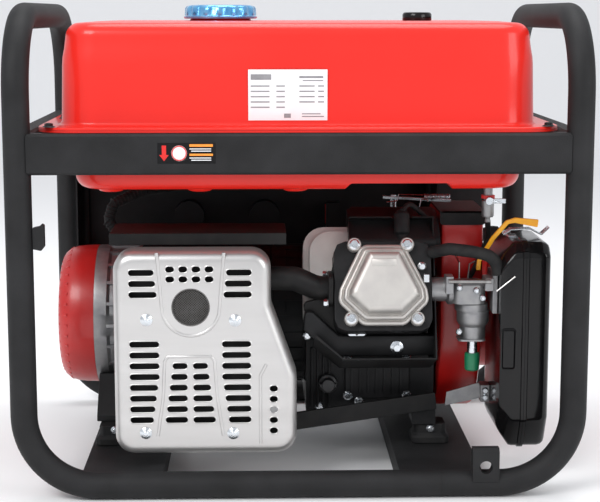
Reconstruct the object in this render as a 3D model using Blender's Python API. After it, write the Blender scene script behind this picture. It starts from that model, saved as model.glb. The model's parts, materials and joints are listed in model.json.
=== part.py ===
"""Open-frame portable generator.

Two bent tube loops carry everything.  A flanged fuel tank lies on two rails between the
posts.  Below it an inclined single-cylinder engine drives an alternator on one line: end
cover and fan on the left, flywheel, blower housing and recoil starter on the right.  The
exhaust side faces -Y, the control panel faces +Y, and +Z is up.  The origin is on the
floor under the middle of the frame.  Units are metres.
"""
import math

import bmesh
import bpy
from mathutils import Matrix
from mathutils import Vector

MM = 0.001
GAP = 0.3 * MM                      # clearance between pieces that touch

# --- frame ---------------------------------------------------------------------------
LENGTH = 690 * MM                   # overall, along X
DEPTH = 500 * MM                    # overall, along Y
HEIGHT = 590 * MM                   # floor to the top of the handles
TUBE_R = 16 * MM
TUBE_WALL = 2 * MM
FOOT_BEND = 87 * MM                 # centre-line radius of the lower bends
HANDLE_BEND = 91 * MM               # centre-line radius of the handle bends
TUBE_SIDES = 12
ROUND_SIDES = 20
BEND_STEPS = 5
LONG_STRETCH = 3.0                  # how much longer a straight is than a bend's chord
POST_X = LENGTH / 2 - TUBE_R
POST_Y = DEPTH / 2 - TUBE_R
HANDLE_Z = HEIGHT - TUBE_R
SEAM_X = 171 * MM                   # where the two loops are welded end to end

RAIL_H = 48 * MM                    # rectangular tube that carries the tank
RAIL_T = 25 * MM
RAIL_WALL = 2 * MM
RAIL_TOP = 439.5 * MM
RAIL_PROUD = 4 * MM                 # post front to rail front

CHANNEL_TOP = 30 * MM
CHANNEL_H = 26 * MM
CHANNEL_WALL = 3 * MM
CHANNEL_LEFT = (-262 * MM, -165 * MM)
CHANNEL_RIGHT = (121 * MM, 221 * MM)

LUG_W = 32 * MM
LUG_X = 223 * MM
LUG_TOP = 62 * MM
LUG_WALL = 4 * MM
LUG_T = 14 * MM
LUG_HOLE_R = 8 * MM
LUG_HOLE_Z = 39 * MM

MOUNT_H = 26 * MM
MOUNT_L = 48 * MM
MOUNT_W = 44 * MM

# --- fuel tank -----------------------------------------------------------------------
SHEET = 1.6 * MM
FLANGE_X = LENGTH / 2 - 37 * MM
FLANGE_Y = DEPTH / 2 - 10 * MM
FLANGE_T = 3 * MM
TANK_X = LENGTH / 2 - 61 * MM
TANK_Y = DEPTH / 2 - 38 * MM
TANK_H = 125 * MM                   # flange to the top skin
TANK_TAPER = 7 * MM
TANK_CORNER = 45 * MM
TANK_EDGE = 15 * MM
PAN_DEPTH = 72 * MM
PAN_X = LENGTH / 2 - 75 * MM
PAN_Y = DEPTH / 2 - 50 * MM
PAN_CHAMFER = 20 * MM
NECK_X = -97 * MM
NECK_R = 38 * MM
NECK_WALL = 2.5 * MM
NECK_H = 14 * MM
CAP_R = 47.5 * MM
CAP_WALL = 3 * MM
CAP_H = 18 * MM
CAP_LIFT = 2.5 * MM                 # skirt edge above the top skin
GAUGE_X = 159 * MM
GAUGE_R = 19 * MM
GAUGE_STEM_R = 9 * MM
GAUGE_H = 9 * MM
GAUGE_DROP = 40 * MM                # the float stem below the skin
VALVE_X = 234 * MM
VALVE_Y = -150 * MM
VALVE_R = 8 * MM
VALVE_Z = (334 * MM, 366 * MM)
NOZZLE_R = 3 * MM
NOZZLE_L = 12 * MM
LEVER_R = 5 * MM
LEVER_L = 20 * MM
LEVER_T = 6 * MM

# --- power line ----------------------------------------------------------------------
CRANK_Y = 20 * MM
CRANK_Z = 178 * MM
CYLINDER_X = 104 * MM
TILT = math.radians(20)             # cylinder above the horizontal
BORE_R = 44 * MM
THROW = 32 * MM
PIN_R = 17 * MM
WEB_R = 54 * MM
WEB_T = 16 * MM
SHAFT_R = 18 * MM
RUNNING = 0.4 * MM                  # clearance round the turning pieces
BLOCK_X = (12 * MM, 178 * MM)
BLOCK_WALL = 12 * MM
BLOCK_BOTTOM = 66 * MM
DECK = 150 * MM                     # crank axis to the head joint
FIN_COUNT = 5
FIN_T = 3 * MM
FIN_W = 96 * MM                     # half width of a fin
FIN_H = 84 * MM                     # half height of a fin
HEAD_L = 50 * MM
HEAD_W = 60 * MM
HEAD_H = 56 * MM
COVER_L = 35 * MM
COVER_W = 56 * MM
COVER_H = 50 * MM
SHROUD_T = 2 * MM
SHROUD_RIGHT = 66 * MM              # from the cylinder's axis
SHROUD_TOP = 90 * MM
SHROUD_BOTTOM = 90 * MM
PLUG_CAP_R = 10 * MM
PLUG_PLACE = (26 * MM, DECK + HEAD_L - 14 * MM)   # across and out along the bore
PISTON_L = 50 * MM
PISTON_WALL = 5 * MM
PISTON_PLAY = 0.8 * MM
ROD_L = 90 * MM
FOOT_X = 171 * MM
FOOT_Y = (-92 * MM, 128 * MM)
FOOT_T = 10 * MM
FOOT_CUT = 18 * MM                  # the feet stop short of the blower's back
DIPSTICK_X = 40 * MM
DIPSTICK_Z = 104 * MM
DIPSTICK_R = 13 * MM
GOVERNOR_X = 130 * MM
GOVERNOR_Y = 0.0
GOVERNOR_Z = 335 * MM
GOVERNOR_R = 4 * MM

ALT_R = 92 * MM
STATOR_X = (-204 * MM, -32 * MM)
STATOR_IN = 58 * MM
ROTOR_R = 56 * MM
FAN_R = 82 * MM
BELL_X = (-262 * MM, -204.5 * MM)
BELL_WALL = 5 * MM
END_X = -311 * MM                   # outer face of the alternator's end cover
END_WALL = 2.5 * MM
BEARING_R = 15 * MM
SHAFT_JOINT_X = -38 * MM            # where the rotor's shaft meets the crankshaft
POLE_HALF = 22 * MM                 # half width of the slots beside the poles
LOOM_R = 6.5 * MM

FLY_R = 98 * MM
FLY_T = 22 * MM
FLY_X = 190 * MM
BLADES = 10
BLOWER_X = (182 * MM, 236 * MM)
BLOWER_R = 126 * MM
RECOIL_R = 74 * MM
RECOIL_X = 290 * MM
PULLEY_R = 48 * MM
PULLEY_T = 14 * MM
ROPE_R = 42 * MM
GRIP_L = 80 * MM
GRIP_R = 13 * MM

# --- exhaust -------------------------------------------------------------------------
SHIELD_X = (-223 * MM, -3 * MM)
SHIELD_STEP_X = -34 * MM            # right edge of the narrower upper half
SHIELD_Z = (48 * MM, 297 * MM)
SHIELD_FACE = -218 * MM
SHIELD_D = 42 * MM
SHIELD_T = 1.6 * MM
SHIELD_CORNER = 24 * MM
OUTLET_X = -130 * MM
OUTLET_Z = 230 * MM
OUTLET_R = 22 * MM
MUFFLER_X = (-212 * MM, -44 * MM)
MUFFLER_Y = (-204 * MM, -124 * MM)
MUFFLER_Z = (76 * MM, 288 * MM)
PIPE_R = 15 * MM
PIPE_WALL = 2 * MM
PIPE_Z = 255 * MM
STAY_H = 22 * MM
STAY_T = 6 * MM
BAFFLE_D = 92 * MM
BAFFLE_H = 14 * MM

# --- induction -----------------------------------------------------------------------
CARB_Y = -147 * MM
CARB_Z = 238 * MM
CARB_X = (186 * MM, 244 * MM)
BOWL_X = 218 * MM
BOWL_R = 20 * MM
BOWL_Z = (177 * MM, 213 * MM)
AIR_X = (246 * MM, 276 * MM, 308 * MM)
AIR_Y = (-(POST_Y - TUBE_R - 26 * MM), -64 * MM)
AIR_Z = (42 * MM, 302 * MM)
AIR_WALL = 2 * MM
HOSE_R = 8 * MM
CHOKE_X = 224 * MM
CHOKE_REACH = 74 * MM
CLIP_Y = -128 * MM
CLIP_HALF = 7 * MM

# --- control panel -------------------------------------------------------------------
PANEL_X = (-(POST_X - TUBE_R - 5 * MM), 208 * MM)
PANEL_Y = (154 * MM, 226 * MM)
PANEL_Z = (214 * MM, 364 * MM)
PANEL_WALL = 2 * MM
WING_X = 279 * MM                   # right end of the plate over the starter rope
WING_LOW = 296 * MM
WING_T = 4 * MM
LID_SIZE = 56 * MM
LID_X = (-150 * MM, -40 * MM)
LID_Z = 285 * MM
LID_T = 5 * MM
SWITCH_X = 60 * MM
SWITCH_SIZE = (22 * MM, 30 * MM)
BREAKER_X = 120 * MM
BREAKER_R = 6 * MM
PLAY = 1 * MM                       # room round the switch and the breaker's button

PIECES = {}


# --- materials -----------------------------------------------------------------------
def material(name, colour, roughness, metallic=0.0):
    """A Principled material with one colour."""
    found = bpy.data.materials.get(name)
    if found:
        return found
    made = bpy.data.materials.new(name)
    made.use_nodes = True
    shader = made.node_tree.nodes["Principled BSDF"]
    shader.inputs["Base Color"].default_value = (*colour, 1.0)
    shader.inputs["Roughness"].default_value = roughness
    shader.inputs["Metallic"].default_value = metallic
    return made


def frame_black():
    return material("frame_black", (0.030, 0.031, 0.034), 0.55)


def tank_red():
    return material("tank_red", (0.72, 0.035, 0.020), 0.22)


def cover_red():
    return material("cover_red", (0.70, 0.040, 0.030), 0.42)


def engine_black():
    return material("engine_black", (0.016, 0.016, 0.017), 0.50)


def cast_metal():
    return material("cast_metal", (0.52, 0.51, 0.49), 0.45, 0.9)


def shield_steel():
    return material("shield_steel", (0.66, 0.66, 0.65), 0.34, 0.95)


def bright_steel():
    return material("bright_steel", (0.62, 0.62, 0.62), 0.25, 1.0)


def chrome_cap():
    return material("chrome_cap", (0.16, 0.38, 0.62), 0.16, 0.9)


def rubber():
    return material("rubber", (0.014, 0.014, 0.014), 0.75)


def black_plastic():
    return material("black_plastic", (0.012, 0.012, 0.013), 0.18)


def yellow_plastic():
    return material("yellow_plastic", (0.90, 0.46, 0.02), 0.38)


def copper_core():
    return material("copper_core", (0.45, 0.22, 0.11), 0.45, 0.6)


def foam():
    return material("foam", (0.06, 0.06, 0.065), 0.95)


# --- shape helpers -------------------------------------------------------------------
def finish_object(name, bm, mat, smooth=True):
    """Turns a bmesh into a named object with outward faces."""
    bmesh.ops.remove_doubles(bm, verts=bm.verts, dist=1e-6)
    bmesh.ops.recalc_face_normals(bm, faces=bm.faces)
    mesh = bpy.data.meshes.new(name)
    bm.to_mesh(mesh)
    bm.free()
    mesh.materials.append(mat)
    if smooth:
        mesh.shade_smooth()
        mesh.set_sharp_from_angle(angle=math.radians(35))
    made = bpy.data.objects.new(name, mesh)
    bpy.context.scene.collection.objects.link(made)
    PIECES[name] = made
    return made


def set_pivot(piece, point):
    """Moves the origin to a joint's axis and leaves the shape where it is."""
    offset = Vector(point)
    piece.data.transform(Matrix.Translation(-offset))
    piece.location = offset
    return piece


def at_cylinder(piece):
    """Turns a piece drawn in the cylinder's own frame (X, up the fins, out along the bore)."""
    piece.rotation_euler = (math.pi / 2 - TILT, 0.0, 0.0)
    piece.location = (CYLINDER_X, CRANK_Y, CRANK_Z)
    return piece


def boolean(target, tool, operation):
    """Cuts with, or welds on, a tool object that is itself left out."""
    step = target.modifiers.new(operation.lower(), "BOOLEAN")
    step.operation = operation
    step.solver = "EXACT"
    step.object = tool
    tool.hide_render = True
    tool.display_type = "WIRE"
    return target


def cut(target, tool):
    return boolean(target, tool, "DIFFERENCE")


def weld(target, tool):
    return boolean(target, tool, "UNION")


def ring_faces(bm, rings, closed=True):
    """Quads between neighbouring rings of equal length."""
    for first, second in zip(rings, rings[1:]):
        count = len(first)
        for i in range(count if closed else count - 1):
            j = (i + 1) % count
            bm.faces.new((first[i], first[j], second[j], second[i]))


def loft(bm, outlines, cap_start=True, cap_end=True):
    """A skin through outlines, which are lists of points of equal length."""
    rings = [[bm.verts.new(point) for point in outline] for outline in outlines]
    ring_faces(bm, rings)
    if cap_start:
        bm.faces.new(rings[0])
    if cap_end:
        bm.faces.new(rings[-1])
    return bm


AXIS_MAP = {
    "X": lambda a, b, along: (along, a, b),
    "Y": lambda a, b, along: (a, along, b),
    "Z": lambda a, b, along: (a, b, along),
}


def prism(bm, outline, axis, low, high):
    """An outline in the two other axes, pulled along one axis."""
    put = AXIS_MAP[axis]
    return loft(bm, [[put(a, b, low) for a, b in outline], [put(a, b, high) for a, b in outline]])


def box(bm, x, y, z):
    return prism(bm, [(x[0], y[0]), (x[1], y[0]), (x[1], y[1]), (x[0], y[1])], "Z", z[0], z[1])


def box_object(name, mat, x, y, z):
    return finish_object(name, box(bmesh.new(), x, y, z), mat)


def lathe(bm, profile, axis, centre, sides=ROUND_SIDES):
    """Turns a closed profile of (radius, place along the axis) round an axis.

    centre gives the two other coordinates of the axis.
    """
    put = AXIS_MAP[axis]
    rings = []
    for radius, along in profile:
        if radius < 1e-7:
            rings.append([bm.verts.new(put(centre[0], centre[1], along))])
            continue
        ring = []
        for i in range(sides):
            angle = math.tau * (i + 0.5) / sides
            ring.append(bm.verts.new(put(centre[0] + radius * math.cos(angle),
                                         centre[1] + radius * math.sin(angle), along)))
        rings.append(ring)
    for k, first in enumerate(rings):
        second = rings[(k + 1) % len(rings)]
        if len(first) == 1 and len(second) == 1:
            continue
        for i in range(sides):
            j = (i + 1) % sides
            corners = (first[i % len(first)], first[j % len(first)],
                       second[j % len(second)], second[i % len(second)])
            bm.faces.new(list(dict.fromkeys(corners)))
    return bm


def lathe_object(name, mat, profile, axis, centre, sides=ROUND_SIDES):
    return finish_object(name, lathe(bmesh.new(), profile, axis, centre, sides), mat)


def rod_profile(radius, low, high):
    return [(0.0, low), (radius, low), (radius, high), (0.0, high)]


def tube_profile(inner, outer, low, high):
    return [(inner, low), (outer, low), (outer, high), (inner, high)]


def rod(name, mat, radius, axis, centre, low, high, sides=ROUND_SIDES):
    return lathe_object(name, mat, rod_profile(radius, low, high), axis, centre, sides)


def rounded_outline(x, y, radius, steps=3):
    """A rectangle with round corners, as (a, b) points."""
    points = []
    corners = [(x[1] - radius, y[1] - radius, 0.0), (x[0] + radius, y[1] - radius, 90.0),
               (x[0] + radius, y[0] + radius, 180.0), (x[1] - radius, y[0] + radius, 270.0)]
    for cx, cy, start in corners:
        for i in range(steps + 1):
            angle = math.radians(start + 90.0 * i / steps)
            points.append((cx + radius * math.cos(angle), cy + radius * math.sin(angle)))
    return points


def bend_path(points, radii, steps=BEND_STEPS):
    """A path through points whose inner corners become arcs of the given radii."""
    points = [Vector(point) for point in points]
    path = [points[0]]
    for k in range(1, len(points) - 1):
        before = (points[k - 1] - points[k]).normalized()
        after = (points[k + 1] - points[k]).normalized()
        half = before.angle(after) / 2
        radius = radii[k - 1]
        centre = points[k] + (before + after).normalized() * (radius / math.sin(half))
        start = points[k] + before * (radius / math.tan(half)) - centre
        end = points[k] + after * (radius / math.tan(half)) - centre
        turn = start.angle(end)
        for i in range(steps + 1):
            share = i / steps
            arm = start * math.sin((1 - share) * turn) + end * math.sin(share * turn)
            path.append(centre + arm / math.sin(turn))
    path.append(points[-1])
    return path


def path_frames(path, first_side):
    """A side and an up direction at each point, carried along without twist.

    Where a long straight meets the first chord of a bend, the ring is square to the straight.
    """
    frames = []
    side = Vector(first_side)
    for k, point in enumerate(path):
        ahead = path[min(k + 1, len(path) - 1)] - point
        behind = point - path[max(k - 1, 0)]
        tangent = (ahead.normalized() + behind.normalized()).normalized()
        shorter, longer = sorted((ahead, behind), key=lambda stretch: stretch.length)
        if longer.length > LONG_STRETCH * shorter.length:
            tangent = longer.normalized()
        side = (side - tangent * side.dot(tangent)).normalized()
        frames.append((side, tangent.cross(side)))
    return frames


def sweep_outline(path, frames, outline):
    return [[point + side * a + up * b for a, b in outline]
            for point, (side, up) in zip(path, frames)]


def across_flats(radius, sides):
    """The corner radius of a polygon whose flats lie at the given radius."""
    return radius / math.cos(math.pi / sides)


def circle_outline(radius, sides):
    corner = across_flats(radius, sides)
    return [(corner * math.cos(math.tau * (i + 0.5) / sides),
             corner * math.sin(math.tau * (i + 0.5) / sides)) for i in range(sides)]


def sweep(name, mat, path, outline, first_side):
    """A solid bar of one outline along a path."""
    path = [Vector(point) for point in path]
    frames = path_frames(path, first_side)
    return finish_object(name, loft(bmesh.new(), sweep_outline(path, frames, outline)), mat)


def hollow_sweep(name, mat, path, radius, wall, first_side, sides=TUBE_SIDES):
    """A round tube with open ends along a path."""
    path = [Vector(point) for point in path]
    frames = path_frames(path, first_side)
    outer = sweep_outline(path, frames, circle_outline(radius, sides))
    inner = sweep_outline(path, frames, circle_outline(radius - wall, sides))
    bm = bmesh.new()
    rows = [[bm.verts.new(point) for point in ring] for ring in outer + inner[::-1]]
    ring_faces(bm, rows + rows[:1])
    return finish_object(name, bm, mat)


def open_shell(name, mat, outline, axis, face, rim, wall):
    """A tray: a flat face at one level with a skirt to its open rim."""
    put = AXIS_MAP[axis]
    bm = bmesh.new()
    front = [bm.verts.new(put(a, b, face)) for a, b in outline]
    back = [bm.verts.new(put(a, b, rim)) for a, b in outline]
    bm.faces.new(front)
    ring_faces(bm, [front, back])
    made = finish_object(name, bm, mat)
    thick = made.modifiers.new("sheet", "SOLIDIFY")
    thick.thickness = wall
    thick.offset = -1.0
    thick.use_even_offset = True
    return made


# --- frame ---------------------------------------------------------------------------
def loop_path(side):
    """Front rail, post, handle, post and rear rail of one loop, in one line."""
    seam = SEAM_X + side * GAP / 2
    corners = [(seam, -POST_Y, TUBE_R), (side * POST_X, -POST_Y, TUBE_R),
               (side * POST_X, -POST_Y, HANDLE_Z), (side * POST_X, POST_Y, HANDLE_Z),
               (side * POST_X, POST_Y, TUBE_R), (seam, POST_Y, TUBE_R)]
    return bend_path(corners, [FOOT_BEND, HANDLE_BEND, HANDLE_BEND, FOOT_BEND])


def frame_loop(side, name):
    return hollow_sweep(name, frame_black(), loop_path(side), TUBE_R, TUBE_WALL, (0.0, 1.0, 0.0))


def hollow_rail(name, axis, across, low, high):
    """A rectangular tube along X or Y, open at both ends, cut to fit round the posts."""
    rail_z = (RAIL_TOP - RAIL_H, RAIL_TOP)
    outer = rounded_outline(across, rail_z, 3 * MM, 1)
    inner = rounded_outline((across[0] + RAIL_WALL, across[1] - RAIL_WALL),
                            (rail_z[0] + RAIL_WALL, rail_z[1] - RAIL_WALL), 1.5 * MM, 1)
    put = AXIS_MAP[axis]
    bm = bmesh.new()
    rows = []
    for outline, along in ((outer, low), (outer, high), (inner, high), (inner, low)):
        rows.append([bm.verts.new(put(a, b, along)) for a, b in outline])
    ring_faces(bm, rows + rows[:1])
    return finish_object(name, bm, frame_black())


def tank_rail(side, name):
    outer_face = DEPTH / 2 - RAIL_PROUD
    across = sorted((side * outer_face, side * (outer_face - RAIL_T)))
    end = POST_X - 2 * MM
    made = hollow_rail(name, "X", across, -end, end)
    cut(made, loop_space(-1))
    return cut(made, loop_space(1))


def side_rail(side, name):
    outer_face = LENGTH / 2 - RAIL_PROUD
    across = sorted((side * outer_face, side * (outer_face - RAIL_T)))
    end = DEPTH / 2 - RAIL_PROUD - RAIL_T - GAP
    made = hollow_rail(name, "Y", across, -end, end)
    return cut(made, loop_space(side))


def loop_space(side):
    """The room that a frame loop takes from what is welded to it."""
    name = f"loop_space_{side}"
    if name not in PIECES:
        sweep(name, frame_black(), loop_path(side), circle_outline(TUBE_R + GAP, TUBE_SIDES),
              (0.0, 1.0, 0.0))
    return PIECES[name]


def base_channel(name, x):
    """An inverted channel between the lower rails, under the vibration mounts."""
    top = CHANNEL_TOP
    foot = CHANNEL_TOP - CHANNEL_H
    wall = CHANNEL_WALL
    outline = [(x[0], foot), (x[0] + wall, foot), (x[0] + wall, top - wall),
               (x[1] - wall, top - wall), (x[1] - wall, foot), (x[1], foot), (x[1], top), (x[0], top)]
    made = finish_object(name, prism(bmesh.new(), outline, "Y", -POST_Y, POST_Y), frame_black())
    cut(made, loop_space(-1))
    return cut(made, loop_space(1))


def wheel_kit_lug():
    """A folded lug with a cross hole for the wheel kit's axle, welded on the front rail."""
    low = TUBE_R
    x = (LUG_X - LUG_W / 2, LUG_X + LUG_W / 2)
    front = -DEPTH / 2
    outline = [(front, low), (front, LUG_TOP - LUG_WALL), (front + LUG_WALL, LUG_TOP),
               (front + LUG_T, LUG_TOP), (front + LUG_T, low)]
    made = finish_object("wheel_kit_lug", prism(bmesh.new(), outline, "X", x[0], x[1]),
                         frame_black())
    cut(made, loop_space(1))
    hole = rod("lug_hole", frame_black(), LUG_HOLE_R, "Y", (LUG_X, LUG_HOLE_Z),
               front - LUG_T, front + 2 * LUG_T, 16)
    return cut(made, hole)


def rubber_mount(name, x, y):
    """A stepped rubber block between a channel and a foot above it."""
    bm = bmesh.new()
    low = CHANNEL_TOP + GAP
    outlines = []
    for share, height in ((1.0, 0.0), (1.0, 0.35), (0.84, 0.5), (0.84, 1.0)):
        half_x = MOUNT_L / 2 * share
        half_y = MOUNT_W / 2 * share
        z = low + (MOUNT_H - 2 * GAP) * height
        outlines.append([(a, b, z) for a, b in rounded_outline((x - half_x, x + half_x),
                                                               (y - half_y, y + half_y), 5 * MM, 1)])
    return finish_object(name, loft(bm, outlines), rubber())


# --- fuel tank -----------------------------------------------------------------------
def tank_ring(half_x, half_y, corner, z):
    return [(a, b, z) for a, b in rounded_outline((-half_x, half_x), (-half_y, half_y), corner)]


def tank_levels(inset):
    """Half length, half width, corner and height of each level of the top shell."""
    top = RAIL_TOP + FLANGE_T + GAP + TANK_H - inset
    low = RAIL_TOP + FLANGE_T + GAP
    return [(TANK_X - inset, TANK_Y - inset, TANK_CORNER - inset, low),
            (TANK_X - TANK_TAPER - inset, TANK_Y - TANK_TAPER - inset, TANK_CORNER - inset,
             top - TANK_EDGE),
            (TANK_X - TANK_TAPER - TANK_EDGE * 0.3 - inset,
             TANK_Y - TANK_TAPER - TANK_EDGE * 0.3 - inset, TANK_CORNER - inset,
             top - TANK_EDGE * 0.3),
            (TANK_X - TANK_TAPER - TANK_EDGE - inset, TANK_Y - TANK_TAPER - TANK_EDGE - inset,
             TANK_CORNER - TANK_EDGE * 0.5, top)]


def tank_top():
    return RAIL_TOP + FLANGE_T + GAP + TANK_H


def tank_shell():
    """The upper pressing with its flange, filler neck and gauge seat."""
    low = RAIL_TOP + FLANGE_T + GAP
    outer = [tank_ring(FLANGE_X, FLANGE_Y, TANK_CORNER, low),
             tank_ring(FLANGE_X, FLANGE_Y, TANK_CORNER, low + FLANGE_T)]
    outer += [tank_ring(x, y, corner, max(z, low + FLANGE_T))
              for x, y, corner, z in tank_levels(0.0)]
    inner = [tank_ring(x, y, corner, z) for x, y, corner, z in tank_levels(SHEET)]
    bm = bmesh.new()
    loft(bm, inner[::-1] + outer)
    made = finish_object("tank_shell", bm, tank_red())
    neck_foot = tank_top() - SHEET - 4 * MM
    neck = rod("neck_blank", tank_red(), NECK_R, "Z", (NECK_X, 0.0), neck_foot,
               tank_top() + NECK_H)
    weld(made, neck)
    plinth = lathe_object("gauge_plinth", tank_red(),
                          rod_profile(GAUGE_R + 2 * MM, neck_foot, tank_top() + 1.5 * MM),
                          "Z", (GAUGE_X, 0.0), 16)
    weld(made, plinth)
    bore = rod("neck_bore", tank_red(), NECK_R - NECK_WALL, "Z", (NECK_X, 0.0),
               tank_top() - 3 * NECK_H, tank_top() + 2 * NECK_H)
    cut(made, bore)
    seat = rod("gauge_hole", tank_red(), GAUGE_STEM_R + GAP, "Z", (GAUGE_X, 0.0),
               tank_top() - 3 * NECK_H, tank_top() + 2 * NECK_H, 16)
    return cut(made, seat)


def pan_ring(inset, corner, z, left=0.0, right=0.0):
    x = (-PAN_X + inset + left, PAN_X - inset - right)
    y = (-PAN_Y + inset + left, PAN_Y - inset - left)
    return [(a, b, z) for a, b in rounded_outline(x, y, corner)]


def tank_pan():
    """The lower pressing, seam-welded to the shell round the flange."""
    high = RAIL_TOP + FLANGE_T
    low = RAIL_TOP - PAN_DEPTH
    outer = [tank_ring(FLANGE_X, FLANGE_Y, TANK_CORNER, high),
             tank_ring(FLANGE_X, FLANGE_Y, TANK_CORNER, high - FLANGE_T + GAP),
             pan_ring(0.0, TANK_CORNER, high - FLANGE_T + GAP),
             pan_ring(0.0, TANK_CORNER, low + PAN_CHAMFER),
             pan_ring(0.0, TANK_CORNER - PAN_CHAMFER / 2, low, PAN_CHAMFER / 2, PAN_CHAMFER)]
    inner = [pan_ring(SHEET, TANK_CORNER, high),
             pan_ring(SHEET, TANK_CORNER, low + PAN_CHAMFER + SHEET / 2),
             pan_ring(SHEET, TANK_CORNER - PAN_CHAMFER / 2, low + SHEET, PAN_CHAMFER / 2,
                      PAN_CHAMFER)]
    bm = bmesh.new()
    loft(bm, inner[::-1] + outer)
    return finish_object("tank_pan", bm, tank_red())


def fuel_cap():
    """The screw-down cap: a skirt and a domed top round the neck."""
    low = tank_top() + CAP_LIFT
    high = low + CAP_H
    profile = [(0.0, high - CAP_WALL), (NECK_R + 4 * MM, high - CAP_WALL), (NECK_R + 4 * MM, low),
               (CAP_R, low), (CAP_R, high - 4 * MM), (CAP_R - 5 * MM, high), (0.0, high)]
    made = lathe_object("fuel_cap", chrome_cap(), profile, "Z", (NECK_X, 0.0))
    return set_pivot(made, (NECK_X, 0.0, low))


def fuel_gauge():
    """A float gauge: a bezel on its plinth with a stem down through the skin."""
    low = tank_top() + 1.5 * MM + GAP
    profile = [(0.0, low - GAUGE_DROP), (GAUGE_STEM_R, low - GAUGE_DROP), (GAUGE_STEM_R, low),
               (GAUGE_R, low), (GAUGE_R, low + GAUGE_H * 0.6), (GAUGE_R - 3 * MM, low + GAUGE_H),
               (0.0, low + GAUGE_H)]
    return lathe_object("fuel_gauge", bright_steel(), profile, "Z", (GAUGE_X, 0.0), 16)


def fuel_valve():
    """The petrol tap under the tank, with a hose nozzle at its foot."""
    low, high = VALVE_Z
    profile = [(0.0, low - NOZZLE_L), (NOZZLE_R, low - NOZZLE_L), (NOZZLE_R, low), (VALVE_R, low),
               (VALVE_R, high), (0.0, high)]
    return lathe_object("fuel_valve", bright_steel(), profile, "Z", (VALVE_X, VALVE_Y), 12)


def fuel_valve_lever():
    """The tap's lever, turning on an axis that points out of the frame's front."""
    pivot_z = (VALVE_Z[0] + VALVE_Z[1]) / 2
    front = VALVE_Y - VALVE_R - GAP
    bm = lathe(bmesh.new(), rod_profile(LEVER_R, front - LEVER_T, front), "Y",
               (VALVE_X, pivot_z), 12)
    made = finish_object("fuel_valve_lever", bm, bright_steel())
    blade = box_object("lever_blade", bright_steel(), (VALVE_X, VALVE_X + LEVER_L),
                       (front - 5 * MM, front - 2 * MM), (pivot_z - 3 * MM, pivot_z + 3 * MM))
    weld(made, blade)
    return set_pivot_with_tools(made, (VALVE_X, front, pivot_z), [blade])


def set_pivot_with_tools(piece, point, tools):
    """Moves a piece's origin to its joint; its tools keep their own places."""
    set_pivot(piece, point)
    for tool in tools:
        tool.parent = piece
        tool.matrix_parent_inverse = Matrix.Translation(-Vector(point))
    return piece


# --- engine block and top end --------------------------------------------------------
def block_outline():
    """The crankcase seen along the crankshaft, as (y, z) points."""
    low = BLOCK_BOTTOM
    return [(CRANK_Y - 100 * MM, low), (CRANK_Y + 88 * MM, low), (CRANK_Y + 98 * MM, low + 30 * MM),
            (CRANK_Y + 98 * MM, CRANK_Z + 40 * MM), (CRANK_Y + 60 * MM, CRANK_Z + 88 * MM),
            (CRANK_Y - 10 * MM, CRANK_Z + 96 * MM), (CRANK_Y - 78 * MM, CRANK_Z + 74 * MM),
            (CRANK_Y - 100 * MM, CRANK_Z + 10 * MM)]


def engine_block():
    """Crankcase and finned barrel in one casting, open on the alternator's side."""
    made = finish_object("engine_block", prism(bmesh.new(), block_outline(), "X", *BLOCK_X),
                         engine_black())
    barrel = finish_object("barrel_blank", lathe(
        bmesh.new(), rod_profile(BORE_R + 10 * MM, 40 * MM, DECK), "Z", (0.0, 0.0)), engine_black())
    weld(made, at_cylinder(barrel))
    for k in range(FIN_COUNT):
        place = DECK - FIN_T - k * 11 * MM
        bm = bmesh.new()
        fin_x = (-FIN_W, HEAD_W + 2 * MM)
        outline = rounded_outline(fin_x, (-HEAD_H, FIN_H), 26 * MM, 2)
        prism(bm, outline, "Z", place, place + FIN_T)
        weld(made, at_cylinder(finish_object(f"barrel_fin_{k}", bm, cast_metal())))
    for k, y in enumerate(FOOT_Y):
        foot_z = CHANNEL_TOP + MOUNT_H + GAP
        foot = box_object(f"foot_blank_{k}", engine_black(),
                          (FOOT_X - MOUNT_L / 2, FOOT_X + MOUNT_L / 2 - FOOT_CUT),
                          (y - MOUNT_W / 2, y + MOUNT_W / 2), (foot_z, foot_z + FOOT_T * 2))
        weld(made, foot)
    cavity = rod("crank_space", engine_black(), WEB_R + 8 * MM, "X", (CRANK_Y, CRANK_Z),
                 BLOCK_X[0] - BLOCK_WALL, BLOCK_X[1] - BLOCK_WALL)
    cut(made, cavity)
    bore = finish_object("bore_space", lathe(bmesh.new(), rod_profile(
        BORE_R, 30 * MM, DECK + BLOCK_WALL), "Z", (0.0, 0.0)), engine_black())
    cut(made, at_cylinder(bore))
    shaft = rod("shaft_space", engine_black(), SHAFT_R + RUNNING, "X", (CRANK_Y, CRANK_Z),
                BLOCK_X[0] - BLOCK_WALL, BLOCK_X[1] + BLOCK_WALL)
    return cut(made, shaft)


def cylinder_head():
    """The head casting: a block with a combustion roof and one long fin."""
    low = DECK + GAP
    high = DECK + HEAD_L
    made = finish_object("cylinder_head", prism(
        bmesh.new(), rounded_outline((-HEAD_W, HEAD_W), (-HEAD_H, HEAD_H), 14 * MM, 2), "Z",
        low, high), engine_black())
    at_cylinder(made)
    place = low + 8 * MM
    bm = bmesh.new()
    outline = rounded_outline((-FIN_W + 8 * MM, HEAD_W - 1 * MM),
                              (-HEAD_H + 2 * MM, FIN_H - 8 * MM), 26 * MM, 2)
    prism(bm, outline, "Z", place, place + FIN_T)
    weld(made, at_cylinder(finish_object("head_fin", bm, cast_metal())))
    roof = finish_object("roof_space", lathe(bmesh.new(), rod_profile(
        BORE_R - 4 * MM, low - FIN_T, low + 6 * MM), "Z", (0.0, 0.0)), engine_black())
    return cut(made, at_cylinder(roof))


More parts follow.
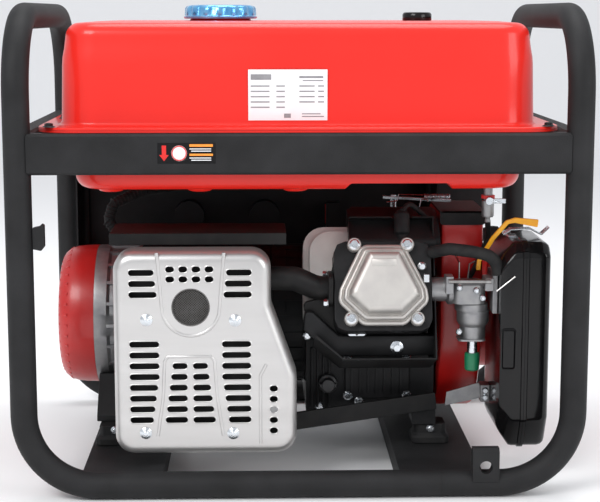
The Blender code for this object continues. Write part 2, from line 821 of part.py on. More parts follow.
def cover_outline(inset):
    """The rocker cover's six-sided outline with its wide waist, as (x, up) points."""
    w = COVER_W - inset
    h = COVER_H - inset
    return [(w * 0.46, -h), (w, -h * 0.42), (w * 0.96, -h * 0.10), (w * 0.48, h),
            (-w * 0.48, h), (-w * 0.96, -h * 0.10), (-w, -h * 0.42), (-w * 0.46, -h)]


def valve_cover():
    """The rocker cover: a hollow stepped lid with an open joint face."""
    low = DECK + HEAD_L + GAP
    high = DECK + HEAD_L + COVER_L
    inner = [(6 * MM, low), (8 * MM, low + 12 * MM), (13 * MM, low + 20 * MM), (16 * MM, high - 5 * MM)]
    outer = [(0.0, low), (0.0, low + 14 * MM), (3 * MM, low + 15 * MM), (4 * MM, low + 22 * MM),
             (8 * MM, low + 23 * MM), (10 * MM, high - 4 * MM), (13 * MM, high)]
    rings = [[(a, b, z) for a, b in cover_outline(inset)] for inset, z in inner[::-1] + outer]
    made = finish_object("valve_cover", loft(bmesh.new(), rings), cast_metal())
    return at_cylinder(made)


def head_shroud():
    """The black tin that leads the cooling air round the top, right and bottom of the fins."""
    right = SHROUD_RIGHT
    t = SHROUD_T
    outer = [(-40 * MM, SHROUD_TOP), (right, SHROUD_TOP), (right, -SHROUD_BOTTOM),
             (-50 * MM, -SHROUD_BOTTOM), (-84 * MM, -62 * MM)]
    inner = [(-84 * MM + t, -62 * MM + 1.6 * t), (-50 * MM + t / 2, -SHROUD_BOTTOM + t),
             (right - t, -SHROUD_BOTTOM + t), (right - t, SHROUD_TOP - t), (-40 * MM, SHROUD_TOP - t)]
    bm = prism(bmesh.new(), outer + inner, "Z", 106 * MM, DECK + 38 * MM)
    made = at_cylinder(finish_object("head_shroud", bm, engine_black()))
    port = rod("port_space", engine_black(), PIPE_R + 4 * MM, "X", (CARB_Y, CARB_Z),
               CYLINDER_X, CARB_X[0], 16)
    cut(made, port)
    plug = rod("plug_space", engine_black(), PLUG_CAP_R + 3 * MM, "Y", PLUG_PLACE, HEAD_H,
               SHROUD_TOP + 3 * BLOCK_WALL, 12)
    return cut(made, at_cylinder(plug))


def piston():
    """The piston at the top of its stroke, hollow below the crown."""
    high = DECK - 1 * MM
    low = high - PISTON_L
    outer = BORE_R - PISTON_PLAY
    inner = outer - PISTON_WALL
    crown = high - 1.6 * PISTON_WALL
    profile = [(inner, low), (outer, low), (outer, high), (0.0, high), (0.0, crown), (inner, crown)]
    made = lathe_object("piston", cast_metal(), profile, "Z", (0.0, 0.0))
    return at_cylinder(made)


def connecting_rod():
    """The rod from the piston down to just outside the crankpin's sweep."""
    eye_place = THROW + ROD_L
    low = THROW + PIN_R + WEB_T * 0.5
    eye = finish_object("rod_eye", lathe(bmesh.new(), tube_profile(9 * MM, 14 * MM, -10 * MM, 10 * MM),
                                         "X", (0.0, eye_place), 16), bright_steel())
    shank = box_object("connecting_rod", bright_steel(), (-5 * MM, 5 * MM), (-9 * MM, 9 * MM),
                       (low, eye_place - 10 * MM))
    weld(shank, at_cylinder(eye))
    return at_cylinder(shank)


# --- the turning line ----------------------------------------------------------------
def crankshaft():
    """Main journals, two round webs and the pin between them, at top dead centre."""
    line = (CRANK_Y, CRANK_Z)
    left = CYLINDER_X - WEB_T / 2 - WEB_T
    right = CYLINDER_X + WEB_T / 2
    made = lathe_object("crankshaft", bright_steel(),
                        [(0.0, SHAFT_JOINT_X), (13 * MM, SHAFT_JOINT_X), (SHAFT_R, 6 * MM), (SHAFT_R, left),
                         (WEB_R, left), (WEB_R, left + WEB_T), (0.0, left + WEB_T)], "X", line)
    far_half = lathe_object("crank_far_half", bright_steel(),
                            [(0.0, right), (WEB_R, right), (WEB_R, right + WEB_T),
                             (SHAFT_R, right + WEB_T), (SHAFT_R, FLY_X - GAP),
                             (12 * MM, FLY_X - GAP), (12 * MM, FLY_X + FLY_T + 14 * MM),
                             (0.0, FLY_X + FLY_T + 14 * MM)], "X", line)
    pin_y = CRANK_Y - THROW * math.cos(TILT)
    pin_z = CRANK_Z + THROW * math.sin(TILT)
    pin = rod("crank_pin", bright_steel(), PIN_R, "X", (pin_y, pin_z),
              left + WEB_T / 2, right + WEB_T / 2)
    weld(made, pin)
    weld(made, far_half)
    return set_pivot_with_tools(made, (CYLINDER_X, CRANK_Y, CRANK_Z), [pin, far_half])


def rotor():
    """The wound rotor with its shaft, and the cooling fan pressed on the outer end."""
    line = (CRANK_Y, CRANK_Z)
    bell_in = BELL_X[0] + BELL_WALL
    profile = [(0.0, BELL_X[0] - 8 * MM), (BEARING_R - RUNNING, BELL_X[0] - 8 * MM),
               (BEARING_R - RUNNING, bell_in + 2 * MM), (FAN_R, bell_in + 4 * MM),
               (FAN_R, bell_in + 8 * MM), (30 * MM, bell_in + 20 * MM),
               (30 * MM, STATOR_X[0] + 8 * MM), (ROTOR_R, STATOR_X[0] + 8 * MM),
               (ROTOR_R, STATOR_X[1] - 4 * MM), (20 * MM, STATOR_X[1] - 4 * MM),
               (20 * MM, SHAFT_JOINT_X - GAP), (0.0, SHAFT_JOINT_X - GAP)]
    made = lathe_object("rotor", copper_core(), profile, "X", line)
    tools = []
    for side in (-1, 1):
        y = sorted((CRANK_Y + side * 36 * MM, CRANK_Y + side * 70 * MM))
        slot = box_object(f"pole_slot_{side}", copper_core(),
                          (STATOR_X[0] + 4 * MM, STATOR_X[1] + 4 * MM), y,
                          (CRANK_Z - POLE_HALF, CRANK_Z + POLE_HALF))
        cut(made, slot)
        tools.append(slot)
    return set_pivot_with_tools(made, (CYLINDER_X, CRANK_Y, CRANK_Z), tools)


def flywheel():
    """The flywheel on the crankshaft's nose, with fan blades on its outer face."""
    hub = 12 * MM + GAP
    profile = [(hub, FLY_X), (FLY_R, FLY_X), (FLY_R, FLY_X + FLY_T), (FLY_R - 14 * MM, FLY_X + FLY_T),
               (FLY_R - 20 * MM, FLY_X + 8 * MM), (34 * MM, FLY_X + 8 * MM), (30 * MM, FLY_X + FLY_T),
               (hub, FLY_X + FLY_T)]
    made = lathe_object("flywheel", cast_metal(), profile, "X", (CRANK_Y, CRANK_Z))
    tools = []
    for k in range(BLADES):
        angle = math.tau * k / BLADES
        blade = finish_object(f"fan_blade_{k}", box(
            bmesh.new(), (FLY_X + 5 * MM, FLY_X + FLY_T + 10 * MM), (52 * MM, 92 * MM),
            (-1.5 * MM, 1.5 * MM)), cast_metal())
        blade.data.transform(Matrix.Translation((0.0, CRANK_Y, CRANK_Z))
                             @ Matrix.Rotation(angle, 4, "X"))
        weld(made, blade)
        tools.append(blade)
    return set_pivot_with_tools(made, (CYLINDER_X, CRANK_Y, CRANK_Z), tools)


# --- alternator ----------------------------------------------------------------------
def stator_core():
    return lathe_object("stator_core", engine_black(), tube_profile(STATOR_IN, ALT_R, *STATOR_X),
                        "X", (CRANK_Y, CRANK_Z))


def alternator_end_bell():
    """The cast outer bell: a deep cup whose floor holds the rotor's far end."""
    low, high = BELL_X
    rim = ALT_R - BELL_WALL
    profile = [(BEARING_R, low), (ALT_R, low), (ALT_R, high), (rim, high),
               (rim, low + BELL_WALL), (BEARING_R, low + BELL_WALL)]
    return lathe_object("alternator_end_bell", cast_metal(), profile, "X", (CRANK_Y, CRANK_Z))


def alternator_end_cover():
    """The red plastic cover over the outer bell."""
    high = BELL_X[0] - GAP
    wall = END_WALL
    outer = [(0.0, END_X), (66 * MM, END_X), (82 * MM, END_X + 5 * MM), (ALT_R, END_X + 20 * MM),
             (ALT_R, high)]
    inner = [(ALT_R - wall, high), (ALT_R - wall, END_X + 21 * MM), (80 * MM, END_X + 5 * MM + wall),
             (65 * MM, END_X + wall), (0.0, END_X + wall)]
    return lathe_object("alternator_end_cover", cover_red(), outer + inner, "X",
                        (CRANK_Y, CRANK_Z))


def engine_adapter():
    """The cast ring that bolts the alternator to the crankcase and closes the crank space."""
    low = STATOR_X[1] + GAP
    high = BLOCK_X[0] - GAP
    rim = ALT_R - 7 * MM
    hub = SHAFT_R + 5 * MM
    profile = [(rim, low), (ALT_R, low), (ALT_R, high), (hub, high), (hub, high - 8 * MM),
               (rim, high - 8 * MM)]
    return lathe_object("engine_adapter", engine_black(), profile, "X", (CRANK_Y, CRANK_Z))


def alternator_cradle():
    """The saddle bracket that stands on the two left mounts and carries the bell."""
    low = CHANNEL_TOP + MOUNT_H + GAP
    high = CRANK_Z - ALT_R * 0.74
    y = (CRANK_Y - 110 * MM, CRANK_Y + 110 * MM)
    outline = [(y[0], low), (y[1], low), (y[1], low + 8 * MM), (y[1] - 40 * MM, high),
               (y[0] + 40 * MM, high), (y[0], low + 8 * MM)]
    x = (BELL_X[0] + 4 * MM, BELL_X[1] - 8 * MM)
    made = finish_object("alternator_cradle", prism(bmesh.new(), outline, "X", *x),
                         frame_black())
    seat = rod("saddle_space", frame_black(), across_flats(ALT_R + GAP, ROUND_SIDES), "X",
               (CRANK_Y, CRANK_Z), x[0] - 5 * MM, x[1] + 5 * MM)
    return cut(made, seat)


def smooth_route(route, steps):
    """A smooth curve through the route, whose first and last stretches stay straight."""
    ends = Vector(route[0]), Vector(route[-1])
    points = [Vector(point) for point in route[1:-1]]
    guide = [points[0] * 2 - points[1]] + points + [points[-1] * 2 - points[-2]]
    path = [ends[0]]
    for k in range(1, len(guide) - 2):
        a, b, c, d = guide[k - 1:k + 3]
        for i in range(steps):
            t = i / steps
            path.append(0.5 * (2 * b + (c - a) * t + (2 * a - 5 * b + 4 * c - d) * t * t
                               + (3 * b - a - 3 * c + d) * t * t * t))
    return path + [points[-1], ends[1]]


def wiring_loom():
    """The corrugated sleeve from the alternator's bell to the back of the panel."""
    x = BELL_X[0] + 26 * MM
    start = (x, CRANK_Y, CRANK_Z + ALT_R + 4 * GAP)
    route = [start, (x, CRANK_Y, start[2] + 8 * MM), (x - 14 * MM, CRANK_Y + 4 * MM, start[2] + 30 * MM),
             (x - 8 * MM, CRANK_Y + 6 * MM, start[2] + 54 * MM),
             (x + 44 * MM, CRANK_Y + 30 * MM, start[2] + 70 * MM),
             (x + 80 * MM, PANEL_Y[0] - 40 * MM, PANEL_Z[1] - 24 * MM),
             (x + 86 * MM, PANEL_Y[0] + 40 * MM, PANEL_Z[1] - 24 * MM)]
    return sweep("wiring_loom", rubber(), smooth_route(route, 3), circle_outline(LOOM_R, 8),
                 (1.0, 0.0, 0.0))


# --- blower and recoil starter ---------------------------------------------------------
def blower_outline():
    """A scroll round the flywheel with a mouth towards the cylinder, as (y, z) points."""
    points = []
    for k in range(19):
        angle = math.radians(188 + 260 * k / 18)
        points.append((CRANK_Y + BLOWER_R * math.cos(angle), CRANK_Z + BLOWER_R * math.sin(angle)))
    points += [(CRANK_Y - 30 * MM, CRANK_Z + BLOWER_R + 24 * MM),
               (CRANK_Y - 100 * MM, CRANK_Z + BLOWER_R - 6 * MM)]
    return points


def blower_housing():
    made = open_shell("blower_housing", cover_red(), blower_outline(), "X", BLOWER_X[1],
                      BLOWER_X[0], SHEET)
    inlet = rod("blower_inlet", cover_red(), RECOIL_R - 10 * MM, "X", (CRANK_Y, CRANK_Z),
                BLOWER_X[1] - 12 * MM, BLOWER_X[1] + 12 * MM)
    return cut(made, inlet)


def recoil_cover():
    low = BLOWER_X[1] + GAP
    wall = 2 * MM
    shoulder = 14 * MM
    profile = [(RECOIL_R - wall, low), (RECOIL_R, low), (RECOIL_R, RECOIL_X - shoulder),
               (RECOIL_R - shoulder, RECOIL_X), (0.0, RECOIL_X), (0.0, RECOIL_X - wall),
               (RECOIL_R - shoulder - wall / 2, RECOIL_X - wall),
               (RECOIL_R - wall, RECOIL_X - shoulder - wall / 2)]
    return lathe_object("recoil_cover", cover_red(), profile, "X", (CRANK_Y, CRANK_Z))


def recoil_pulley():
    """The rope drum in the starter's cover."""
    low = BLOWER_X[1] + 12 * MM
    high = low + PULLEY_T
    profile = [(0.0, low), (PULLEY_R, low), (PULLEY_R, low + 3 * MM), (ROPE_R, low + 4 * MM),
               (ROPE_R, high - 4 * MM), (PULLEY_R, high - 3 * MM), (PULLEY_R, high),
               (10 * MM, high), (10 * MM, RECOIL_X - 4 * MM), (0.0, RECOIL_X - 4 * MM)]
    made = lathe_object("recoil_pulley", black_plastic(), profile, "X", (CRANK_Y, CRANK_Z))
    return set_pivot(made, (low, CRANK_Y, CRANK_Z))


def pull_direction():
    return Vector((0.0, math.cos(TILT), math.sin(TILT)))


def starter_handle():
    """The grip, resting just outside the starter's cover in line with its rope."""
    along = pull_direction()
    up = Vector((0.0, -along.z, along.y))
    reach = BLOWER_R + GRIP_R + 2 * MM
    middle = Vector((0.0, CRANK_Y, CRANK_Z)) + up * ROPE_R + along * reach
    x = BLOWER_X[1] + 12 * MM + PULLEY_T / 2
    half = GRIP_L / 2
    profile = [(0.0, x - half), (GRIP_R * 0.6, x - half), (GRIP_R, x - half * 0.75),
               (GRIP_R * 0.8, x), (GRIP_R, x + half * 0.75), (GRIP_R * 0.6, x + half), (0.0, x + half)]
    made = lathe_object("starter_handle", black_plastic(), profile, "X", (middle.y, middle.z), 12)
    return set_pivot(made, (x, middle.y, middle.z))


# --- exhaust ---------------------------------------------------------------------------
def rounded_polygon(points, radius, steps=3):
    """A closed outline whose corners are arcs."""
    loop = [Vector((a, b, 0.0)) for a, b in points]
    outline = []
    for k, corner in enumerate(loop):
        before = (loop[k - 1] + corner) / 2
        after = (loop[(k + 1) % len(loop)] + corner) / 2
        outline += [(p.x, p.y) for p in bend_path([before, corner, after], [radius], steps)[1:-1]]
    return outline


def heat_shield():
    """The stamped shield in front of the muffler, with its round outlet."""
    x0, x1 = SHIELD_X
    z0, z1 = SHIELD_Z
    step_low = z0 + 0.39 * (z1 - z0)
    step_high = z0 + 0.74 * (z1 - z0)
    corners = [(x0, z0), (x1, z0), (x1, step_low), (SHIELD_STEP_X, step_high),
               (SHIELD_STEP_X, z1), (x0, z1)]
    made = open_shell("heat_shield", shield_steel(), rounded_polygon(corners, SHIELD_CORNER), "Y",
                      SHIELD_FACE, SHIELD_FACE + SHIELD_D, SHIELD_T)
    hole = rod("outlet_space", shield_steel(), OUTLET_R, "Y", (OUTLET_X, OUTLET_Z),
               SHIELD_FACE - 10 * MM, SHIELD_FACE + 10 * MM)
    return cut(made, hole)


def muffler_body():
    """The silencer's box, open at its inlet on the right and its outlet stub in front."""
    x, y, z = MUFFLER_X, MUFFLER_Y, MUFFLER_Z
    made = finish_object("muffler_body", prism(bmesh.new(), rounded_outline(x, z, 24 * MM), "Y", *y),
                         engine_black())
    stub = rod("outlet_stub", engine_black(), OUTLET_R - 3 * MM, "Y", (OUTLET_X, OUTLET_Z),
               y[0] - 10 * MM, y[0] + SHIELD_T, 16)
    weld(made, stub)
    room = finish_object("muffler_room", prism(bmesh.new(), rounded_outline(
        (x[0] + SHEET, x[1] - SHEET), (z[0] + SHEET, z[1] - SHEET), 22 * MM), "Y",
        y[0] + SHEET, y[1] - SHEET), engine_black())
    cut(made, room)
    outlet = rod("outlet_bore", engine_black(), OUTLET_R - 5 * MM, "Y", (OUTLET_X, OUTLET_Z),
                 y[0] - 20 * MM, y[0] + 20 * MM, 16)
    cut(made, outlet)
    inlet = rod("inlet_bore", engine_black(), across_flats(PIPE_R + 2 * GAP, 12), "X",
                (pipe_y(), PIPE_Z), x[1] - 20 * MM, x[1] + 20 * MM, 12)
    return cut(made, inlet)


def pipe_y():
    """The pipe's line behind the shield's rim."""
    return SHIELD_FACE + SHIELD_D + PIPE_R + 4 * MM


def port_point(across, out):
    """A point on the level of the bore's axis, in world places."""
    return (CYLINDER_X + across, CRANK_Y - out * math.cos(TILT), CRANK_Z + out * math.sin(TILT))


def exhaust_pipe():
    """From the head's left port to the muffler's side."""
    start = port_point(-HEAD_W - GAP, DECK + HEAD_L - PIPE_R - 6 * MM)
    end_x = MUFFLER_X[1] - 6 * MM
    route = [start, (start[0] - 12 * MM, start[1], start[2]),
             (start[0] - 40 * MM, (start[1] + pipe_y()) / 2, PIPE_Z - 4 * MM),
             (start[0] - 62 * MM, pipe_y(), PIPE_Z), (end_x, pipe_y(), PIPE_Z)]
    return hollow_sweep("exhaust_pipe", engine_black(), smooth_route(route, 2), PIPE_R, PIPE_WALL,
                        (0.0, 1.0, 0.0), 12)


def muffler_stay():
    """The flat bar from under the muffler to the engine's front foot."""
    start = (MUFFLER_X[1] - 26 * MM, -156 * MM, MUFFLER_Z[0] - STAY_H / 2 - 1.5 * MM)
    foot_top = CHANNEL_TOP + MOUNT_H + 2 * FOOT_T
    end = (FOOT_X + 5 * MM, FOOT_Y[0] - MOUNT_W / 2 - STAY_T, foot_top + STAY_H / 2 + 2 * MM)
    half = STAY_H / 2
    outline = [(-STAY_T / 2, -half), (STAY_T / 2, -half), (STAY_T / 2, half), (-STAY_T / 2, half)]
    return sweep("muffler_stay", engine_black(), [start, end], outline, (0.0, -1.0, 0.0))


def heat_baffle():
    """The angled black plate over the muffler that keeps its heat off the tank."""
    front = MUFFLER_Y[0] + 30 * MM
    back = front + BAFFLE_D
    low = SHIELD_Z[1] + 2 * MM
    high = low + BAFFLE_H
    t = SHEET
    outline = [(front, low), (front + t, low), (front + t, high - t), (back, high - t),
               (back, high), (front, high)]
    return finish_object("heat_baffle", prism(bmesh.new(), outline, "X", SHIELD_X[0] - 7 * MM,
                                              SHIELD_X[1] - 12 * MM), engine_black())


# --- induction -------------------------------------------------------------------------
def carburettor():
    """The carburettor's casting with its throats along X."""
    x0, x1 = CARB_X
    made = box_object("carburettor", cast_metal(), (x0, x1 - 4 * MM), (CARB_Y - 19 * MM, CARB_Y + 19 * MM),
                      (BOWL_Z[1] + GAP, CARB_Z + 18 * MM))
    throat = rod("engine_throat", cast_metal(), PIPE_R, "X", (CARB_Y, CARB_Z),
                 CYLINDER_X + HEAD_W + GAP, x0 + 4 * MM, 16)
    weld(made, throat)
    flange = box_object("air_flange", cast_metal(), (x1 - 5 * MM, AIR_X[0] - GAP),
                        (CARB_Y - 24 * MM, CARB_Y + 24 * MM), (CARB_Z - 28 * MM, CARB_Z + 26 * MM))
    weld(made, flange)
    bore = rod("carb_bore", cast_metal(), PIPE_R - 4 * MM, "X", (CARB_Y, CARB_Z),
               CYLINDER_X + HEAD_W - 5 * MM, AIR_X[0] + 5 * MM, 16)
    return cut(made, bore)


def float_bowl():
    low, high = BOWL_Z
    profile = [(0.0, low), (BOWL_R - 4 * MM, low), (BOWL_R - 3 * MM, low + 14 * MM),
               (BOWL_R, low + 17 * MM), (BOWL_R, high), (BOWL_R - 2 * MM, high),
               (BOWL_R - 2 * MM, low + 18 * MM), (BOWL_R - 6 * MM, low + 3 * MM), (0.0, low + 3 * MM)]
    return lathe_object("float_bowl", cast_metal(), profile, "Z", (BOWL_X, CARB_Y), 20)


def fuel_solenoid():
    high = BOWL_Z[0] - GAP
    profile = [(0.0, high - 42 * MM), (8.5 * MM, high - 42 * MM), (9.5 * MM, high - 38 * MM),
               (9.5 * MM, high - 22 * MM), (6.5 * MM, high - 22 * MM), (6.5 * MM, high - 3 * MM),
               (12 * MM, high - 3 * MM), (12 * MM, high), (0.0, high)]
    return lathe_object("fuel_solenoid", bright_steel(), profile, "Z", (BOWL_X, CARB_Y), 12)


def choke_lever():
    """The bent choke lever, which turns on the upright choke shaft."""
    foot = CARB_Z + 18 * MM + GAP
    top = AIR_Z[1] + 19 * MM
    path = [(CHOKE_X, CARB_Y, foot), (CHOKE_X, CARB_Y - 1 * MM, foot + 18 * MM),
            (AIR_X[0] - 6 * MM, CARB_Y - 9 * MM, AIR_Z[1] + 1 * MM),
            (AIR_X[0] + 10 * MM, CARB_Y - 17 * MM, top - 4 * MM),
            (AIR_X[0] + 19 * MM, CARB_Y - 21 * MM, top),
            (CHOKE_X + CHOKE_REACH, CARB_Y - 29 * MM, top)]
    outline = [(-4 * MM, -1.3 * MM), (4 * MM, -1.3 * MM), (4 * MM, 1.3 * MM), (-4 * MM, 1.3 * MM)]
    made = sweep("choke_lever", yellow_plastic(), path, outline, (0.0, -1.0, 0.0))
    return set_pivot(made, (CHOKE_X, CARB_Y, foot))


def air_outline():
    """The air cleaner's tall outline with its cut lower front corner, as (y, z) points."""
    y, z = AIR_Y, AIR_Z
    return [(y[0], z[0] + 40 * MM), (y[0] + 22 * MM, z[0]), (y[1] - 8 * MM, z[0]),
            (y[1], z[0] + 8 * MM), (y[1], z[1] - 14 * MM), (y[1] - 14 * MM, z[1]),
            (y[0] + 14 * MM, z[1]), (y[0], z[1] - 14 * MM)]


def air_cleaner_base():
    made = open_shell("air_cleaner_base", black_plastic(), air_outline(), "X", AIR_X[0], AIR_X[1],
                      AIR_WALL)
    hole = rod("intake_hole", black_plastic(), PIPE_R - 4 * MM, "X", (CARB_Y, CARB_Z),
               AIR_X[0] - 5 * MM, AIR_X[0] + 5 * MM, 16)
    return cut(made, hole)


def air_cleaner_cover():
    return open_shell("air_cleaner_cover", black_plastic(), air_outline(), "X", AIR_X[2],
                      AIR_X[1] + GAP, AIR_WALL)


def air_filter_element():
    """The foam element, a frame of foam with an open middle."""
    y = (AIR_Y[0] + 16 * MM, AIR_Y[1] - 16 * MM)
    z = (AIR_Z[0] + 50 * MM, AIR_Z[1] - 24 * MM)
    x = (AIR_X[0] + 12 * MM, AIR_X[2] - 10 * MM)
    made = box_object("air_filter_element", foam(), x, y, z)
    core = box_object("element_core", foam(), (x[0] - 5 * MM, x[1] + 5 * MM),
                      (y[0] + 26 * MM, y[1] - 26 * MM), (z[0] + 26 * MM, z[1] - 26 * MM))
    return cut(made, core)


def cover_clip():
    """The spring clip over the top joint of the air cleaner."""
    z = AIR_Z[1] + 2.5 * MM
    x = AIR_X[0] + 12 * MM
    path = [(x, CLIP_Y, z), (x + 8 * MM, CLIP_Y, z + 6 * MM), (x + 32 * MM, CLIP_Y, z + 7 * MM),
            (AIR_X[2] - 3 * MM, CLIP_Y, z), (AIR_X[2] + 6 * MM, CLIP_Y, z + 9 * MM)]
    half_t = 0.8 * MM
    outline = [(-CLIP_HALF, -half_t), (CLIP_HALF, -half_t), (CLIP_HALF, half_t), (-CLIP_HALF, half_t)]
    made = sweep("cover_clip", bright_steel(), path, outline, (0.0, 1.0, 0.0))
    return set_pivot(made, (x, CLIP_Y, z))


def breather_hose():
    """The black hose from the shroud's side up and over to the air cleaner."""
    start_x = CYLINDER_X + SHROUD_RIGHT + GAP
    y = CARB_Y - 32 * MM
    end_z = CARB_Z + 30 * MM
    route = [(start_x, CARB_Y - 6 * MM, CARB_Z + 38 * MM), (start_x + 16 * MM, y + 8 * MM, CARB_Z + 48 * MM),
             (start_x + 38 * MM, y, CARB_Z + 52 * MM), (start_x + 60 * MM, y, CARB_Z + 46 * MM),
             (AIR_X[0] - 8 * MM, y, end_z), (AIR_X[0] - 2 * GAP, y, end_z)]
    return sweep("breather_hose", rubber(), smooth_route(route, 3), circle_outline(HOSE_R, 10),
                 (0.0, 1.0, 0.0))


def plug_cap():
    """The rubber cap on the spark plug, standing on the head's upper side."""
    low = HEAD_H + GAP
    profile = [(0.0, low), (6 * MM, low), (6 * MM, low + 10 * MM), (PLUG_CAP_R, low + 12 * MM),
               (PLUG_CAP_R, low + 36 * MM), (6 * MM, low + 42 * MM), (0.0, low + 42 * MM)]
    return at_cylinder(lathe_object("plug_cap", rubber(), profile, "Y", PLUG_PLACE, 12))


def oil_dipstick():
    """The screwed filler plug on the crankcase's front."""
    face = CRANK_Y - 100 * MM - GAP
    profile = [(0.0, face), (DIPSTICK_R, face), (DIPSTICK_R, face - 8 * MM), (8 * MM, face - 12 * MM),
               (8 * MM, face - 22 * MM), (0.0, face - 22 * MM)]
    made = lathe_object("oil_dipstick", yellow_plastic(), profile, "Y", (DIPSTICK_X, DIPSTICK_Z), 12)
    return set_pivot(made, (DIPSTICK_X, face, DIPSTICK_Z))


def governor_arm():
    """The throttle arm on its upright shaft above the crankcase."""
    z = GOVERNOR_Z
    made = rod("governor_arm", bright_steel(), GOVERNOR_R, "Z", (GOVERNOR_X, GOVERNOR_Y),
               CRANK_Z + 98 * MM, z + 4 * MM, 12)
    outline = [(GOVERNOR_X - 14 * MM, GOVERNOR_Y - 7 * MM), (GOVERNOR_X + 70 * MM, -50 * MM),
               (GOVERNOR_X + 72 * MM, -42 * MM), (GOVERNOR_X - 14 * MM, GOVERNOR_Y + 7 * MM)]
    blade = finish_object("governor_blade", prism(bmesh.new(), outline, "Z", z, z + 3 * MM),
                          bright_steel())
    weld(made, blade)
    return set_pivot_with_tools(made, (GOVERNOR_X, GOVERNOR_Y, z), [blade])


# --- control panel -----------------------------------------------------------------------
def panel_box():
    """The control box, open at the back, with holes for outlets, switch and breaker."""
    face = PANEL_Y[1]
    made = open_shell("panel_box", black_plastic(), rounded_outline(PANEL_X, PANEL_Z, 12 * MM, 2),
                      "Y", face, PANEL_Y[0], PANEL_WALL)
    wing = box_object("panel_wing", black_plastic(), (PANEL_X[1] - PANEL_WALL / 2, WING_X),
                      (PANEL_Y[0], PANEL_Y[0] + WING_T), (WING_LOW, PANEL_Z[1] - 12 * MM))
    weld(made, wing)
    around = (face - 5 * MM, face + 5 * MM)
    for k, x in enumerate(LID_X):
        cut(made, rod(f"outlet_hole_{k}", black_plastic(), LID_SIZE * 0.4, "Y", (x, LID_Z), *around))
    cut(made, rod("breaker_hole", black_plastic(), BREAKER_R + PLAY, "Y", (BREAKER_X, LID_Z),
                  *around, 12))
    half_x = SWITCH_SIZE[0] / 2 + PLAY
    half_z = SWITCH_SIZE[1] / 2 + 2 * PLAY
    return cut(made, box_object("switch_hole", black_plastic(), (SWITCH_X - half_x, SWITCH_X + half_x),
                                around, (LID_Z - half_z, LID_Z + half_z)))


def outlet_lid(name, x):
    """A flap over an outlet, hinged along its top edge."""
    half = LID_SIZE / 2
    face = PANEL_Y[1] + GAP
    outline = rounded_outline((x - half, x + half), (LID_Z - half, LID_Z + half), 6 * MM, 2)
    made = finish_object(name, prism(bmesh.new(), outline, "Y", face, face + LID_T), black_plastic())
    return set_pivot(made, (x, face + LID_T / 2, LID_Z + half))


def engine_switch():
    """The rocker of the run switch, turning about its middle."""
    face = PANEL_Y[1]
    half_x = SWITCH_SIZE[0] / 2
    half_z = SWITCH_SIZE[1] / 2
    outline = [(face - 5 * MM, LID_Z - half_z), (face + 5 * MM, LID_Z - half_z),
               (face + 3 * MM, LID_Z), (face + 7 * MM, LID_Z + half_z), (face - 5 * MM, LID_Z + half_z)]
    made = finish_object("engine_switch", prism(bmesh.new(), outline, "X", SWITCH_X - half_x,
                                                SWITCH_X + half_x), cover_red())
    return set_pivot(made, (SWITCH_X, face, LID_Z))


def breaker_button():
    face = PANEL_Y[1]
    made = rod("breaker_button", black_plastic(), BREAKER_R, "Y", (BREAKER_X, LID_Z),
               face - 6 * MM, face + 7 * MM, 12)
    return set_pivot(made, (BREAKER_X, face, LID_Z))


# --- assembly ------------------------------------------------------------------------------
def clear_scene():
    for old in list(bpy.data.objects):
        bpy.data.objects.remove(old, do_unlink=True)


def build_frame():
    frame_loop(-1, "frame_loop_left")
    frame_loop(1, "frame_loop_right")
    tank_rail(-1, "tank_rail_front")
    tank_rail(1, "tank_rail_rear")
    side_rail(-1, "side_rail_left")
    side_rail(1, "side_rail_right")
    base_channel("base_channel_left", CHANNEL_LEFT)
    base_channel("base_channel_right", CHANNEL_RIGHT)
    wheel_kit_lug()
    left_x = (BELL_X[0] + BELL_X[1]) / 2
    for end, y in zip(("front", "rear"), FOOT_Y):
        rubber_mount(f"rubber_mount_left_{end}", left_x, y)
        rubber_mount(f"rubber_mount_right_{end}", FOOT_X, y)
    alternator_cradle()


def build_tank():
    tank_shell()
    tank_pan()
    fuel_cap()
    fuel_gauge()
    fuel_valve()
    fuel_valve_lever()


def build_engine():
    engine_block()
    cylinder_head()
    valve_cover()
    head_shroud()
    piston()
    connecting_rod()
    crankshaft()
    flywheel()
    plug_cap()
    oil_dipstick()
    governor_arm()
    blower_housing()
    recoil_cover()
    recoil_pulley()
    starter_handle()


def build_alternator():
    alternator_end_cover()
    alternator_end_bell()
    stator_core()
    engine_adapter()
    rotor()
    wiring_loom()


def build_exhaust():
    muffler_body()
    heat_shield()
    exhaust_pipe()
    muffler_stay()
    heat_baffle()


def build_induction():
    carburettor()
    float_bowl()
    fuel_solenoid()
    choke_lever()
    air_cleaner_base()
    air_cleaner_cover()
    air_filter_element()
    cover_clip()
    breather_hose()


def build_panel():
    panel_box()
    for end, x in zip(("left", "right"), LID_X):
        outlet_lid(f"outlet_lid_{end}", x)
    engine_switch()
    breaker_button()


clear_scene()
build_frame()
build_tank()
build_engine()
build_alternator()
build_exhaust()
build_induction()
build_panel()
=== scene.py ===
# %% [markdown]
# # A portable generator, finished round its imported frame
#
# The structure already exists as solids: tubes, tank, engine, alternator, exhaust and panel.
# This file gives each of them the surface that its maker would: pressed sheet with rolled
# edges, powder coat, cast aluminium, zinc-plated bolts, hoses and wire.  Everything is in
# metres, in the frame's own axes: +X to the starter, +Y to the control panel, +Z up.

# %% Load the frame
import json
import math

import bmesh
import bpy
from mathutils import Matrix
from mathutils import Vector

